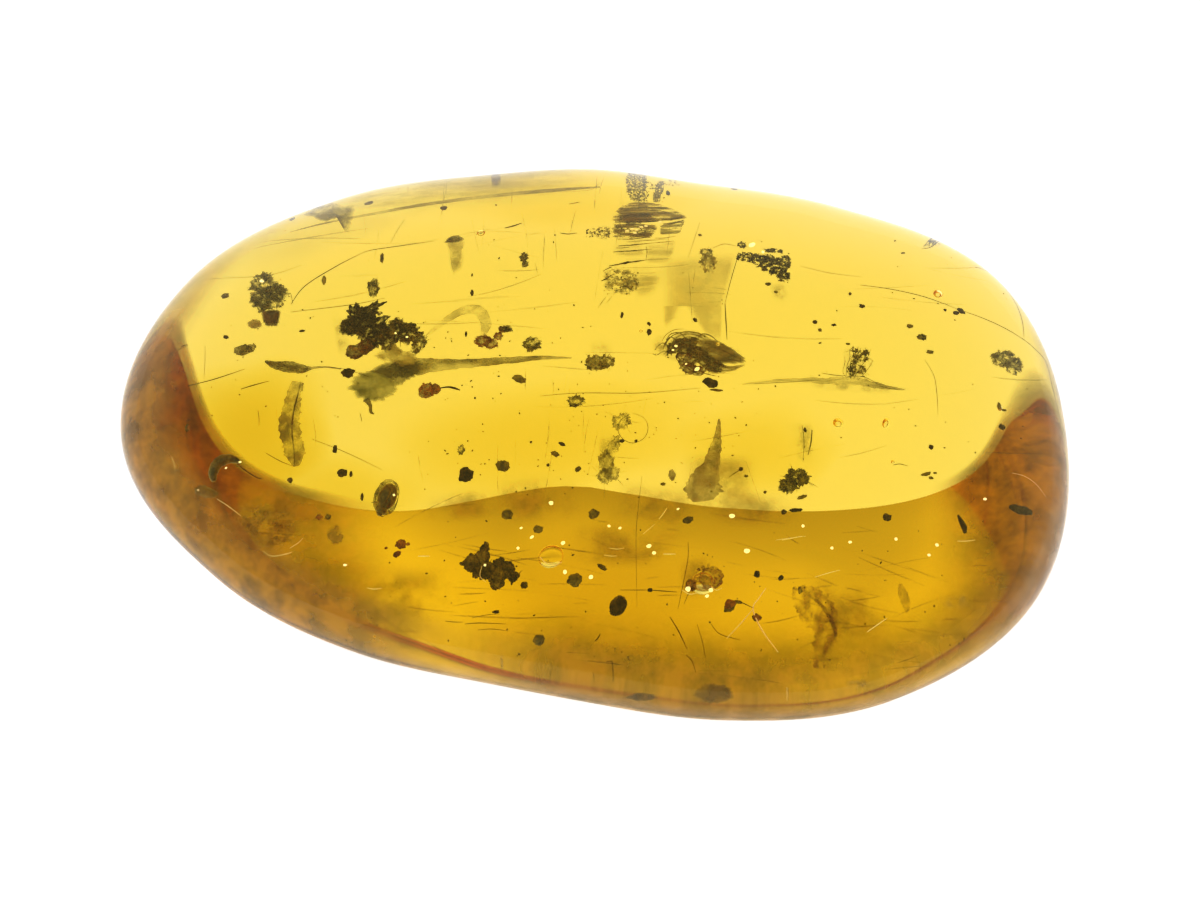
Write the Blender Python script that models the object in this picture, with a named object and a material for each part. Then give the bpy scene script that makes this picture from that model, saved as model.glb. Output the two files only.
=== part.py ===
# Insect in amber: a polished pebble of clear amber with a winged insect and plant debris sealed in it.
# The pebble is parted in two along a level plane, so that every inclusion lies in a pocket.
# The origin is on the resting facet, with Z up and the long side of the pebble along X.
import math

import bmesh
import bpy
from mathutils import Matrix, Vector, noise

mm = 0.001

# The pebble, in millimetres
girdleHeight = 5.3
crownHeight = 4.1
crownExponent = 2.25
girdleRadii = (15.75, 15.1, 12.3, 10.5, 10.35, 10.9, 12.8, 15.1, 15.75, 13.4, 11.1, 9.7, 9.75, 11.2, 13.6, 15.6)

# The flat facet that the pebble rests on
facetCentre = (0.0, 3.9)
facetLeft = 12.8
facetRight = 13.4
facetFar = 4.9
facetNear = 5.2
facetFarExponent = 2.5
facetLeftExponent = 2.8
facetRightExponent = 5.0
facetTaper = 0.02
dentDepth = 1.05
dentPlace = -1.1
dentWidth = 4.3

# The wall between the facet and the girdle: a flat slope at the near side, a tight round at the far side
slopeFootExponent = 1.0
slopeGirdleExponent = 1.5
farWallExponent = 3.2
farWallTurn = math.radians(8)
farWallBlend = 1.4
facetLatitude = math.radians(60)

stoneSegments = 40
stoneRings = 20
partingHeight = 5.3
partingGap = 0.1
pocketGap = 0.3


def signedPower(value, exponent):
    return math.copysign(abs(value) ** exponent, value)


def girdleRadius(angle):
    # A closed smooth curve through the girdle radii
    count = len(girdleRadii)
    place = (angle / math.tau * count) % count
    index = int(place)
    u = place - index
    a, b, c, d = (girdleRadii[(index + k - 1) % count] for k in range(4))
    return 0.5 * (2 * b + (c - a) * u + (2 * a - 5 * b + 4 * c - d) * u**2 + (3 * b - a - 3 * c + d) * u**3)


def facetPoint(angle):
    # A rounded oblong, narrower at the near side, with a shallow dent in its near edge
    across, along = math.cos(angle), math.sin(angle)
    exponent = facetFarExponent
    if along < 0:
        exponent = facetRightExponent if across >= 0 else facetLeftExponent
    x = facetCentre[0] + (facetRight if across >= 0 else facetLeft) * signedPower(across, 2 / exponent)
    y = facetCentre[1] + (facetFar if along >= 0 else facetNear) * signedPower(along, 2 / exponent)
    if along < 0:
        y += dentDepth * math.exp(-(((x - dentPlace) / dentWidth) ** 2)) * min(1, -2 * along)
    x *= 1 + facetTaper * (y - facetCentre[1])
    return Vector((x, y))


def stonePoint(direction):
    # Where a direction from the middle of a unit sphere lands on the pebble
    angle = math.atan2(direction.y, direction.x)
    latitude = math.asin(max(-1, min(1, direction.z)))
    girdle = Vector((math.cos(angle), math.sin(angle))) * girdleRadius(angle)
    if latitude >= 0:
        plan = girdle * math.cos(latitude) ** (2 / crownExponent)
        height = girdleHeight + crownHeight * math.sin(latitude) ** (2 / crownExponent)
        return Vector((plan.x, plan.y, height)) * mm
    facet = facetPoint(angle)
    if latitude <= -facetLatitude:
        share = (math.pi / 2 + latitude) / (math.pi / 2 - facetLatitude)
        centre = Vector(facetCentre)
        plan = centre + (facet - centre) * share
        return Vector((plan.x, plan.y, 0)) * mm
    farShare = max(0, min(1, farWallBlend * math.sin(angle + farWallTurn)))
    foot = slopeFootExponent + (farWallExponent - slopeFootExponent) * farShare
    top = slopeGirdleExponent + (farWallExponent - slopeGirdleExponent) * farShare
    turn = -latitude / facetLatitude * math.pi / 2
    plan = facet + (girdle - facet) * math.cos(turn) ** (2 / foot)
    height = girdleHeight * (1 - math.sin(turn) ** (2 / top))
    return Vector((plan.x, plan.y, height)) * mm


# Finishes: colour, roughness and how much light passes
finishes = {
    "amber": ((0.86, 0.55, 0.06), 0.05, 0.9),
    "insectBrown": ((0.09, 0.035, 0.012), 0.4, 0.0),
    "beetleBrown": ((0.06, 0.03, 0.01), 0.3, 0.0),
    "barkDark": ((0.05, 0.025, 0.01), 0.8, 0.0),
    "barkRed": ((0.16, 0.05, 0.015), 0.7, 0.0),
    "woodGrey": ((0.16, 0.11, 0.05), 0.75, 0.0),
    "leafOlive": ((0.13, 0.09, 0.02), 0.6, 0.0),
    "mossGreen": ((0.07, 0.06, 0.02), 0.85, 0.0),
    "membraneGrey": ((0.3, 0.3, 0.14), 0.4, 0.3),
}


def finish(name):
    found = bpy.data.materials.get(name)
    if found:
        return found
    colour, roughness, transmission = finishes[name]
    material = bpy.data.materials.new(name)
    material.use_nodes = True
    shader = material.node_tree.nodes["Principled BSDF"]
    shader.inputs["Base Color"].default_value = (*colour, 1)
    shader.inputs["Roughness"].default_value = roughness
    shader.inputs["Metallic"].default_value = 0
    shader.inputs["Transmission Weight"].default_value = transmission
    material.diffuse_color = (*colour, 1)
    return material


def clearScene():
    for thing in list(bpy.data.objects):
        bpy.data.objects.remove(thing, do_unlink=True)


def newCollection(name):
    made = bpy.data.collections.new(name)
    bpy.context.scene.collection.children.link(made)
    return made


def objectFrom(mesh, name, collection, material=None):
    bmesh.ops.recalc_face_normals(mesh, faces=mesh.faces)
    data = bpy.data.meshes.new(name)
    mesh.to_mesh(data)
    mesh.free()
    data.shade_smooth()
    thing = bpy.data.objects.new(name, data)
    collection.objects.link(thing)
    if material:
        data.materials.append(finish(material))
    return thing


def helper(thing):
    thing.hide_render = True
    thing.display_type = "WIRE"
    return thing


def booleanWith(thing, other, operation, label):
    modifier = thing.modifiers.new(label, "BOOLEAN")
    modifier.operation = operation
    modifier.solver = "EXACT"
    if isinstance(other, bpy.types.Collection):
        modifier.operand_type = "COLLECTION"
        modifier.collection = other
    else:
        modifier.object = other


# Shapes that the inclusions are made of, sized in millimetres


def ball(radii, place=(0, 0, 0), turn=(0, 0, 0), segments=12, rings=8):
    mesh = bmesh.new()
    bmesh.ops.create_uvsphere(mesh, u_segments=segments, v_segments=rings, radius=1)
    shape = Matrix.LocRotScale(Vector(place), turnOf(turn), Vector(radii))
    bmesh.ops.transform(mesh, matrix=shape, verts=mesh.verts)
    return mesh


def turnOf(degrees):
    return Matrix.Rotation(math.radians(degrees[2]), 3, "Z") @ Matrix.Rotation(
        math.radians(degrees[1]), 3, "Y"
    ) @ Matrix.Rotation(math.radians(degrees[0]), 3, "X")


def rock(radii, roughness, grain, seed, detail=3):
    # A ragged lump: a ball pushed in and out along its own directions
    mesh = bmesh.new()
    bmesh.ops.create_icosphere(mesh, subdivisions=detail, radius=1)
    for vertex in mesh.verts:
        where = vertex.co * grain + Vector((seed * 7.3, seed * 3.1, seed * 5.7))
        push = noise.noise(where) + 0.6 * noise.noise(where * 2.3)
        reach = max(0.45, 1 + roughness * push)
        vertex.co = Vector(a * b for a, b in zip(vertex.co * reach, radii))
    return mesh


def blade(length, width, thickness, bend, ends=(0.06, 0.06), rows=12, sides=8):
    # A long flat body, widest where its two ends meet in a smooth swell, bent in its own plane
    mesh = bmesh.new()
    bmesh.ops.create_cone(mesh, cap_ends=True, segments=sides, radius1=1, radius2=1, depth=1)
    lengthwise = [edge for edge in mesh.edges if abs(edge.verts[0].co.z - edge.verts[1].co.z) > 0.5]
    bmesh.ops.subdivide_edges(mesh, edges=lengthwise, cuts=rows - 1, use_grid_fill=False)
    for vertex in mesh.verts:
        u = vertex.co.z + 0.5
        swell = math.sin(math.pi * u) ** 0.8
        wide = width / 2 * (ends[0] * (1 - u) + ends[1] * u + swell * (1 - max(ends)))
        thick = thickness / 2 * (0.25 + 0.75 * swell)
        x = length * (u - 0.5)
        y = vertex.co.x * wide + bend * (4 * u * (1 - u) - 0.5)
        vertex.co = (x, y, vertex.co.y * thick)
    return mesh


def tube(points, radius, sides=6):
    # A thin limb through a few points, with closed ends
    curve = bpy.data.curves.new("limb", "CURVE")
    curve.dimensions = "3D"
    curve.bevel_depth = radius
    curve.bevel_resolution = max(0, sides // 2 - 2)
    curve.use_fill_caps = True
    spline = curve.splines.new("POLY")
    spline.points.add(len(points) - 1)
    for point, co in zip(spline.points, points):
        point.co = (*co, 1)
    carrier = bpy.data.objects.new("limb", curve)
    bpy.context.scene.collection.objects.link(carrier)
    evaluated = carrier.evaluated_get(bpy.context.evaluated_depsgraph_get())
    data = bpy.data.meshes.new_from_object(evaluated)
    bpy.data.objects.remove(carrier, do_unlink=True)
    bpy.data.curves.remove(curve)
    mesh = bmesh.new()
    mesh.from_mesh(data)
    bpy.data.meshes.remove(data)
    bmesh.ops.remove_doubles(mesh, verts=mesh.verts, dist=radius * 0.01)
    return mesh


def box(size, place, turn=(0, 0, 0)):
    mesh = bmesh.new()
    bmesh.ops.create_cube(mesh, size=1)
    shape = Matrix.LocRotScale(Vector(place), turnOf(turn), Vector(size))
    bmesh.ops.transform(mesh, matrix=shape, verts=mesh.verts)
    return mesh


def placed(mesh, place, turn):
    # From millimetres about a piece's own middle to metres in the pebble
    shape = Matrix.Translation(Vector(place) * mm) @ turnOf(turn).to_4x4() @ Matrix.Scale(mm, 4)
    bmesh.ops.transform(mesh, matrix=shape, verts=mesh.verts)
    return mesh


def fusedPiece(name, material, shapes, place, turn):
    # The first shape becomes the piece and the others are joined to it
    body = objectFrom(placed(shapes[0], place, turn), name, pieces, material)
    for index, shape in enumerate(shapes[1:], 1):
        part = helper(objectFrom(placed(shape, place, turn), f"{name}_join{index}", cutters))
        booleanWith(body, part, "UNION", f"join{index}")
    return body


def pocket(name, place, turn, halfSize):
    # A smooth hollow round an inclusion, wide enough to leave a gap all over
    grown = [half * 1.2 + pocketGap for half in halfSize]
    mesh = placed(ball(grown, segments=8, rings=5), place, turn)
    helper(objectFrom(mesh, f"{name}_pocket", pockets))


# The insect: a small winged fly lying on its side, head towards -X


def gnatShapes():
    thorax = ball((0.42, 0.30, 0.36), (-0.50, 0, 0.10), (0, -12, 0), 12, 8)
    head = ball((0.20, 0.22, 0.21), (-1.02, 0, -0.02), (0, 0, 0), 10, 6)
    neck = ball((0.20, 0.13, 0.12), (-0.86, 0, 0.04), (0, 0, 0), 8, 6)
    abdomen = ball((0.68, 0.22, 0.24), (0.28, 0, -0.10), (0, 8, 0), 10, 8)
    shapes = [thorax, head, neck, abdomen]
    for side in (-1, 1):
        shapes.append(wingShape(side))
        shapes += legShapes(side)
        feeler = [(-1.14, side * 0.07, 0.10), (-1.34, side * 0.12, 0.24), (-1.56, side * 0.16, 0.22)]
        shapes.append(tube(feeler, 0.028))
    return shapes


def wingShape(side):
    # A long rounded wing folded back along the body, one wing lying over the other
    wing = blade(1.95, 0.62, 0.07, 0.0, (0.16, 0.2), 7, 6)
    over = 0.045 * side
    shape = Matrix.LocRotScale(
        Vector((0.50 + over, side * 0.20, 0.22 + over)), turnOf((side * 36 + 5, 4, side * -4)), Vector((1, 1, 1))
    )
    bmesh.ops.transform(wing, matrix=shape, verts=wing.verts)
    return wing


def legShapes(side):
    legs = []
    for hip, knee, foot in ((-0.68, -0.95, -1.18), (-0.46, -0.42, -0.34), (-0.26, 0.10, 0.52)):
        points = [
            (hip, side * 0.14, -0.10),
            (knee, side * 0.42, -0.34),
            ((knee + foot) / 2, side * 0.48, -0.62),
            (foot, side * 0.40, -0.80),
        ]
        legs.append(tube(points, 0.032))
    return legs


def beetleShapes():
    shell = ball((0.46, 0.33, 0.22), segments=8, rings=6)
    head = ball((0.15, 0.19, 0.13), (-0.47, 0, -0.02), segments=6, rings=5)
    rim = ball((0.52, 0.38, 0.07), (0, 0, -0.05), segments=10, rings=4)
    shapes = [shell, head, rim]
    for side in (-1, 1):
        for along in (-0.25, 0.0, 0.25):
            shapes.append(tube([(along, side * 0.2, -0.05), (along * 1.3, side * 0.5, -0.12)], 0.03))
    return shapes


def woodShapes():
    # Thin splintered layers, one behind the other
    layers = (
        (1.15, 1.00, 0.10, 1.55),
        (2.25, 0.62, -0.05, 0.82),
        (2.05, 0.46, 0.08, 0.38),
        (1.75, 0.38, -0.20, 0.06),
        (1.95, 0.34, -0.05, -0.22),
        (1.60, 0.40, -0.25, -0.52),
        (1.25, 0.78, -0.45, -0.98),
    )
    shapes = []
    for index, (length, width, x, y) in enumerate(layers):
        thickness = 0.42 + 0.05 * (index % 3)
        shapes.append(box((length, width, thickness), (x, y, 0.03 * (index % 2)), (4 * (index % 3), 0, -2 + index)))
    return shapes


def tuftShapes():
    base = box((0.62, 0.55, 0.5), (0.02, -0.62, 0), (0, 0, 4))
    return [rock((0.52, 0.62, 0.45), 0.5, 1.9, 2, 2), base]


def bladeAndFanShapes():
    shapes = [blade(5.1, 0.34, 0.26, -0.18, (0.04, 0.04), 10, 6)]
    for lean in (-20, 2, 22):
        strand = blade(0.95, 0.2, 0.16, 0.0, (0.5, 0.1), 4, 6)
        shape = Matrix.Translation((1.15 + lean * 0.008, 0.42, 0.02)) @ turnOf((0, 0, 90 - lean)).to_4x4()
        bmesh.ops.transform(strand, matrix=shape, verts=strand.verts)
        shapes.append(strand)
    return shapes


def clusterShapes():
    spots = ((0, 0, 0.30), (-0.42, 0.18, 0.27), (0.38, -0.22, 0.27), (0.55, 0.08, 0.2))
    return [ball((r, r * 0.9, r * 0.8), (x, y, 0.05 * k), segments=8, rings=5) for k, (x, y, r) in enumerate(spots)]


def larvaShapes():
    turn = [math.radians(200 - 26 * k) for k in range(6)]
    points = [(0.36 * math.cos(a), 0.30 * math.sin(a), 0) for a in turn]
    ends = [ball((0.17, 0.17, 0.16), points[k], segments=8, rings=5) for k in (0, -1)]
    return [tube(points, 0.15), *ends]


def stripShapes():
    upper = blade(2.7, 0.62, 0.3, 0.05, (0.45, 0.6), 9, 6)
    return [upper, box((0.5, 0.22, 0.2), (1.2, 0.02, 0.02), (0, 0, 12))]


def thornShapes():
    # A broad foot that narrows to a bent tip
    points = [Vector((0.0, -1.25, 0)), Vector((0.05, -0.5, 0)), Vector((0.08, 0.3, 0)), Vector((0.22, 1.3, 0))]
    widths = (0.5, 0.36, 0.18)
    shapes = []
    for start, end, width in zip(points, points[1:], widths):
        middle = (start + end) / 2
        length = (end - start).length * 1.35
        shapes.append(ball((length / 2, width, width * 0.6), middle, (0, 0, 84), 8, 6))
    return shapes


def scrapShapes():
    leaf = blade(2.1, 0.72, 0.16, 0.28, (0.2, 0.1), 9, 6)
    rib = blade(1.9, 0.14, 0.26, 0.28, (0.4, 0.2), 7, 6)
    return [leaf, rib]


def leafSliverShapes():
    body = blade(5.6, 0.52, 0.24, -0.1, (0.1, 0.03), 10, 6)
    for vertex in body.verts:
        # The widest place is a third of the way along, and the far end runs out to a point
        vertex.co.y *= 1.25 - 0.28 * (vertex.co.x + 2.8) / 1.9 if vertex.co.x < -0.9 else 0.95
    return [body, ball((0.5, 0.24, 0.22), (-1.9, -0.14, 0.02), (0, 0, -14), 8, 6)]


def huskShapes():
    return [ball((0.52, 0.38, 0.34), segments=10, rings=8), ball((0.26, 0.2, 0.18), (0.42, 0.2, 0.05), segments=8, rings=6)]


def woolShapes():
    stalk = blade(1.5, 0.3, 0.22, 0.12, (0.4, 0.3), 8, 6)
    bmesh.ops.rotate(stalk, verts=stalk.verts, cent=(0, 0, 0), matrix=turnOf((0, 0, 88)))
    bmesh.ops.translate(stalk, verts=stalk.verts, vec=(-0.3, -0.85, 0))
    return [rock((0.32, 0.42, 0.3), 0.4, 2.1, 12, 2), stalk]


# name: material, shapes, place in the pebble, turn in degrees, half size of the pocket
inclusions = {
    "gnat": ("insectBrown", gnatShapes, (3.67, 2.14, 5.30), (62, 0, -8), (1.62, 0.62, 0.92)),
    "beetle": ("beetleBrown", beetleShapes, (-6.54, -2.67, 5.30), (30, 0, 68), (0.66, 0.56, 0.30)),
    "bark_clump_large": ("barkDark", None, (-7.65, 3.14, 5.45), (20, 0, 12), (0.88, 0.82, 0.60)),
    "bark_clump_small": ("barkRed", None, (-5.92, 2.84, 5.45), (20, 0, -20), (0.70, 0.52, 0.45)),
    "wood_splinter": ("woodGrey", woodShapes, (1.81, 6.72, 5.30), (0, 0, -2), (1.25, 2.15, 0.42)),
    "grain_clump": ("mossGreen", None, (5.69, 5.81, 5.30), (25, 0, -18), (0.86, 0.58, 0.48)),
    "plant_tuft": ("mossGreen", tuftShapes, (-10.70, 4.66, 5.25), (10, 0, 4), (0.66, 1.00, 0.52)),
    "leaf_sliver": ("leafOlive", leafSliverShapes, (-3.85, 1.45, 5.15), (10, 0, 5), (2.85, 0.34, 0.28)),
    "spindle_bud": ("leafOlive", None, (-9.35, 1.87, 5.30), (0, 0, -6), (1.30, 0.24, 0.22)),
    "membrane_scrap": ("membraneGrey", None, (-7.09, 0.92, 5.20), (20, 0, -8), (0.72, 0.40, 0.25)),
    "stem_strip": ("barkRed", stripShapes, (-9.68, -0.07, 5.25), (0, 0, 84), (1.42, 0.34, 0.22)),
    "red_seed": ("barkRed", None, (-5.38, 0.44, 5.30), (0, 0, 10), (0.34, 0.27, 0.24)),
    "grass_blade": ("leafOlive", bladeAndFanShapes, (7.39, 1.05, 5.25), (10, 0, -3), (2.60, 0.66, 0.30)),
    "thorn": ("barkRed", thornShapes, (3.81, -1.75, 5.25), (12, 0, -4), (0.62, 1.55, 0.42)),
    "moss_lump": ("mossGreen", None, (13.40, 2.33, 5.30), (15, 0, -12), (0.52, 0.46, 0.38)),
    "frass_pellet": ("barkDark", None, (0.89, -6.31, 5.30), (0, 0, 50), (0.31, 0.26, 0.24)),
    "dark_cluster": ("barkDark", clusterShapes, (-3.20, -5.00, 5.30), (25, 0, -8), (0.86, 0.52, 0.34)),
    "leaf_scrap": ("barkRed", scrapShapes, (6.98, -6.83, 5.30), (20, 0, -62), (1.12, 0.50, 0.22)),
    "olive_crumb": ("leafOlive", None, (0.18, 1.90, 5.30), (10, 0, -14), (0.45, 0.28, 0.24)),
    "green_clump": ("mossGreen", None, (6.38, -2.31, 5.30), (20, 0, 15), (0.42, 0.38, 0.30)),
    "curled_larva": ("beetleBrown", larvaShapes, (-11.75, -1.39, 5.30), (20, 0, 10), (0.58, 0.50, 0.22)),
    "wool_tuft": ("mossGreen", woolShapes, (0.87, -0.40, 5.30), (10, 0, 0), (0.70, 1.70, 0.40)),
    "seed_husk": ("barkRed", huskShapes, (3.53, -5.62, 5.30), (15, 0, 10), (0.64, 0.44, 0.36)),
    "resin_crumb": ("barkRed", None, (-3.45, 2.76, 5.30), (10, 0, 12), (0.42, 0.28, 0.24)),
    "olive_flake": ("leafOlive", None, (-11.32, 2.62, 5.30), (10, 0, 4), (0.36, 0.20, 0.18)),
}

# Plain lumps: half sizes, raggedness, grain, seed and detail
lumps = {
    "bark_clump_large": ((0.78, 0.76, 0.52), 0.85, 2.2, 1, 3),
    "bark_clump_small": ((0.64, 0.44, 0.38), 0.8, 2.4, 3, 3),
    "grain_clump": ((0.80, 0.50, 0.42), 0.5, 3.4, 4, 3),
    "membrane_scrap": ((0.70, 0.36, 0.18), 0.35, 1.6, 5, 2),
    "red_seed": ((0.33, 0.24, 0.22), 0.3, 1.8, 6, 2),
    "moss_lump": ((0.50, 0.42, 0.34), 0.6, 2.8, 7, 2),
    "frass_pellet": ((0.31, 0.25, 0.23), 0.12, 1.2, 8, 2),
    "olive_crumb": ((0.44, 0.25, 0.2), 0.45, 2.0, 9, 2),
    "green_clump": ((0.40, 0.34, 0.26), 0.6, 2.6, 10, 2),
    "resin_crumb": ((0.40, 0.24, 0.2), 0.5, 2.2, 11, 2),
    "olive_flake": ((0.34, 0.18, 0.14), 0.35, 1.6, 13, 2),
}


def makeInclusions():
    for name, (material, shapes, place, turn, halfSize) in inclusions.items():
        if name == "spindle_bud":
            made = [blade(2.6, 0.42, 0.36, 0.06, (0.04, 0.04), 9, 6)]
        elif name in lumps:
            made = [rock(*lumps[name])]
        else:
            made = shapes()
        fusedPiece(name, material, made, place, turn)
        pocket(name, place, turn, halfSize)


def makeHalf(name, side):
    # The pebble cut level at the parting plane, with every pocket taken out of it
    mesh = bmesh.new()
    bmesh.ops.create_uvsphere(mesh, u_segments=stoneSegments, v_segments=stoneRings, radius=1)
    for vertex in mesh.verts:
        vertex.co = stonePoint(vertex.co.normalized())
    height = (partingHeight + side * partingGap / 2) * mm
    everything = mesh.verts[:] + mesh.edges[:] + mesh.faces[:]
    bmesh.ops.bisect_plane(
        mesh, geom=everything, plane_co=(0, 0, height), plane_no=(0, 0, side), clear_inner=True, dist=1e-7
    )
    rim = [edge for edge in mesh.edges if edge.is_boundary]
    bmesh.ops.holes_fill(mesh, edges=rim, sides=0)
    half = objectFrom(mesh, name, pieces, "amber")
    booleanWith(half, pockets, "DIFFERENCE", "pockets")
    return half


clearScene()
pieces = newCollection("insect_in_amber")
cutters = newCollection("joins")
pockets = newCollection("pockets")
makeInclusions()
makeHalf("amber_top", 1)
makeHalf("amber_base", -1)
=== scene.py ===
import math
import random

import bmesh
import bpy
from mathutils import Matrix, Vector, noise
from mathutils.bvhtree import BVHTree


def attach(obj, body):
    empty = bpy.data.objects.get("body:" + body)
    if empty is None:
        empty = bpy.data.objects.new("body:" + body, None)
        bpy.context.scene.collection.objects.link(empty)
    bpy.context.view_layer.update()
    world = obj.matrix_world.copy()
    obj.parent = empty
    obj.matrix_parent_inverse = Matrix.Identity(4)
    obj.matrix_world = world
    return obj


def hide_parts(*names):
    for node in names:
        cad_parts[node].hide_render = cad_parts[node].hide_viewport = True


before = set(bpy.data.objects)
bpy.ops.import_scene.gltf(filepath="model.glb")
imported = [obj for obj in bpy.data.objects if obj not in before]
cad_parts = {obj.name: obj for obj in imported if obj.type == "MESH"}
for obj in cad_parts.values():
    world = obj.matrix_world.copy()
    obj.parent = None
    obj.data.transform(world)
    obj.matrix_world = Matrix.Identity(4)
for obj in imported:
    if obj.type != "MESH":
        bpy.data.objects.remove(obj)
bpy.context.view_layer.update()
print("frame loaded:", len(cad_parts), "nodes")

mm = 0.001

# The pebble, in millimetres: its outline at the girdle, the domed crown and the flat facet it lies on
stone = {
    "girdleHeight": 5.3, "crownHeight": 4.1, "crownExponent": 2.25,
    "girdleRadii": (
        15.75, 15.1, 12.3, 10.5, 10.35, 10.9, 12.8, 15.1, 15.75, 13.4, 11.1, 9.7, 9.75, 11.2, 13.6, 15.6,
    ),
    "facetCentre": (0.0, 3.9), "facetLeft": 12.8, "facetRight": 13.4, "facetFar": 4.9, "facetNear": 5.2,
    "facetFarExponent": 2.5, "facetLeftExponent": 2.8, "facetRightExponent": 5.0, "facetTaper": 0.02,
    "dentDepth": 1.05, "dentPlace": -1.1, "dentWidth": 4.3, "slopeFootExponent": 1.0,
    "slopeGirdleExponent": 1.5, "farWallExponent": 3.2, "farWallTurn": math.radians(8),
    "farWallBlend": 1.4, "facetLatitude": math.radians(60), "segments": 256, "rings": 128,
    "lightBend": 1.54, "skin": 0.05,
}

# The camera looks down at 60 degrees; a view 1200 wide shows 40 mm at the girdle
view = {
    "elevation": math.radians(60), "lens": 100.0, "sensor": 36.0, "widthShown": 40.0, "width": 1200,
    "height": 900, "aside": 6.5, "below": 11.5, "nearClip": 0.001, "halvings": 36, "slopeStep": 0.001,
    "sinkStep": 0.2, "above": 0.01,
}


def signedPower(value, exponent):
    return math.copysign(abs(value) ** exponent, value)


def curveAt(a, b, c, d, u):
    # Between b and c at share u, on a smooth curve through all four
    return 0.5 * (2 * b + (c - a) * u + (2 * a - 5 * b + 4 * c - d) * u**2 + (3 * b - a - 3 * c + d) * u**3)


def throughRadii(radii, angle):
    # A closed smooth curve through radii spaced evenly round the circle
    count = len(radii)
    place = (angle / math.tau * count) % count
    index = int(place)
    a, b, c, d = (radii[(index + k - 1) % count] for k in range(4))
    return curveAt(a, b, c, d, place - index)


def facetPoint(angle):
    across, along = math.cos(angle), math.sin(angle)
    exponent = stone["facetFarExponent"]
    if along < 0:
        exponent = stone["facetRightExponent"] if across >= 0 else stone["facetLeftExponent"]
    wide = stone["facetRight"] if across >= 0 else stone["facetLeft"]
    deep = stone["facetFar"] if along >= 0 else stone["facetNear"]
    x = stone["facetCentre"][0] + wide * signedPower(across, 2 / exponent)
    y = stone["facetCentre"][1] + deep * signedPower(along, 2 / exponent)
    if along < 0:
        dent = math.exp(-(((x - stone["dentPlace"]) / stone["dentWidth"]) ** 2))
        y += stone["dentDepth"] * dent * min(1, -2 * along)
    x *= 1 + stone["facetTaper"] * (y - stone["facetCentre"][1])
    return Vector((x, y))


def stonePoint(direction):
    # Where a direction from the middle of a unit sphere lands on the pebble, in millimetres
    angle = math.atan2(direction.y, direction.x)
    latitude = math.asin(max(-1, min(1, direction.z)))
    girdle = Vector((math.cos(angle), math.sin(angle))) * throughRadii(stone["girdleRadii"], angle)
    if latitude >= 0:
        plan = girdle * math.cos(latitude) ** (2 / stone["crownExponent"])
        lift = stone["crownHeight"] * math.sin(latitude) ** (2 / stone["crownExponent"])
        return Vector((plan.x, plan.y, stone["girdleHeight"] + lift))
    facet = facetPoint(angle)
    if latitude <= -stone["facetLatitude"]:
        share = (math.pi / 2 + latitude) / (math.pi / 2 - stone["facetLatitude"])
        centre = Vector(stone["facetCentre"])
        plan = centre + (facet - centre) * share
        return Vector((plan.x, plan.y, 0))
    farShare = max(0, min(1, stone["farWallBlend"] * math.sin(angle + stone["farWallTurn"])))
    foot = stone["slopeFootExponent"] + (stone["farWallExponent"] - stone["slopeFootExponent"]) * farShare
    top = stone["slopeGirdleExponent"] + (stone["farWallExponent"] - stone["slopeGirdleExponent"]) * farShare
    turn = -latitude / stone["facetLatitude"] * math.pi / 2
    plan = facet + (girdle - facet) * math.cos(turn) ** (2 / foot)
    return Vector((plan.x, plan.y, stone["girdleHeight"] * (1 - math.sin(turn) ** (2 / top))))


# Camera

rise = view["elevation"]
cameraBack = Vector((0, -math.cos(rise), math.sin(rise)))
cameraUp = Vector((0, math.sin(rise), math.cos(rise)))
cameraAway = view["lens"] / view["sensor"] * view["widthShown"]
perMm = view["width"] / view["widthShown"]
cameraAim = Vector((view["aside"] / perMm, 0, stone["girdleHeight"])) - cameraUp * view["below"] / perMm
cameraPlace = cameraAim + cameraBack * cameraAway

cameraData = bpy.data.cameras.new("camera")
cameraData.lens = view["lens"]
cameraData.sensor_width = view["sensor"]
cameraData.clip_start = view["nearClip"]
camera = bpy.data.objects.new("camera", cameraData)
bpy.context.scene.collection.objects.link(camera)
camera.location = cameraPlace * mm
camera.rotation_euler = (math.pi / 2 - rise, 0, 0)
bpy.context.scene.camera = camera


def crownDepth(point):
    # Below zero inside the crown, above zero outside it
    reach = throughRadii(stone["girdleRadii"], math.atan2(point.y, point.x))
    out = math.hypot(point.x, point.y) / reach
    lift = max(0, point.z - stone["girdleHeight"]) / stone["crownHeight"]
    return out ** stone["crownExponent"] + lift ** stone["crownExponent"] - 1


def crownHit(across, down):
    # The ray through this place of the view, and where it enters the crown
    x = (across - view["width"] / 2) / perMm
    y = (view["height"] / 2 - down) / perMm
    ray = (Vector((x, 0, 0)) + cameraUp * y - cameraBack * cameraAway).normalized()
    near = (stone["girdleHeight"] + stone["crownHeight"] + view["above"] - cameraPlace.z) / ray.z
    far = (stone["girdleHeight"] - cameraPlace.z) / ray.z
    for _ in range(view["halvings"]):
        middle = (near + far) / 2
        if crownDepth(cameraPlace + ray * middle) < 0:
            far = middle
        else:
            near = middle
    return ray, cameraPlace + ray * far


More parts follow.
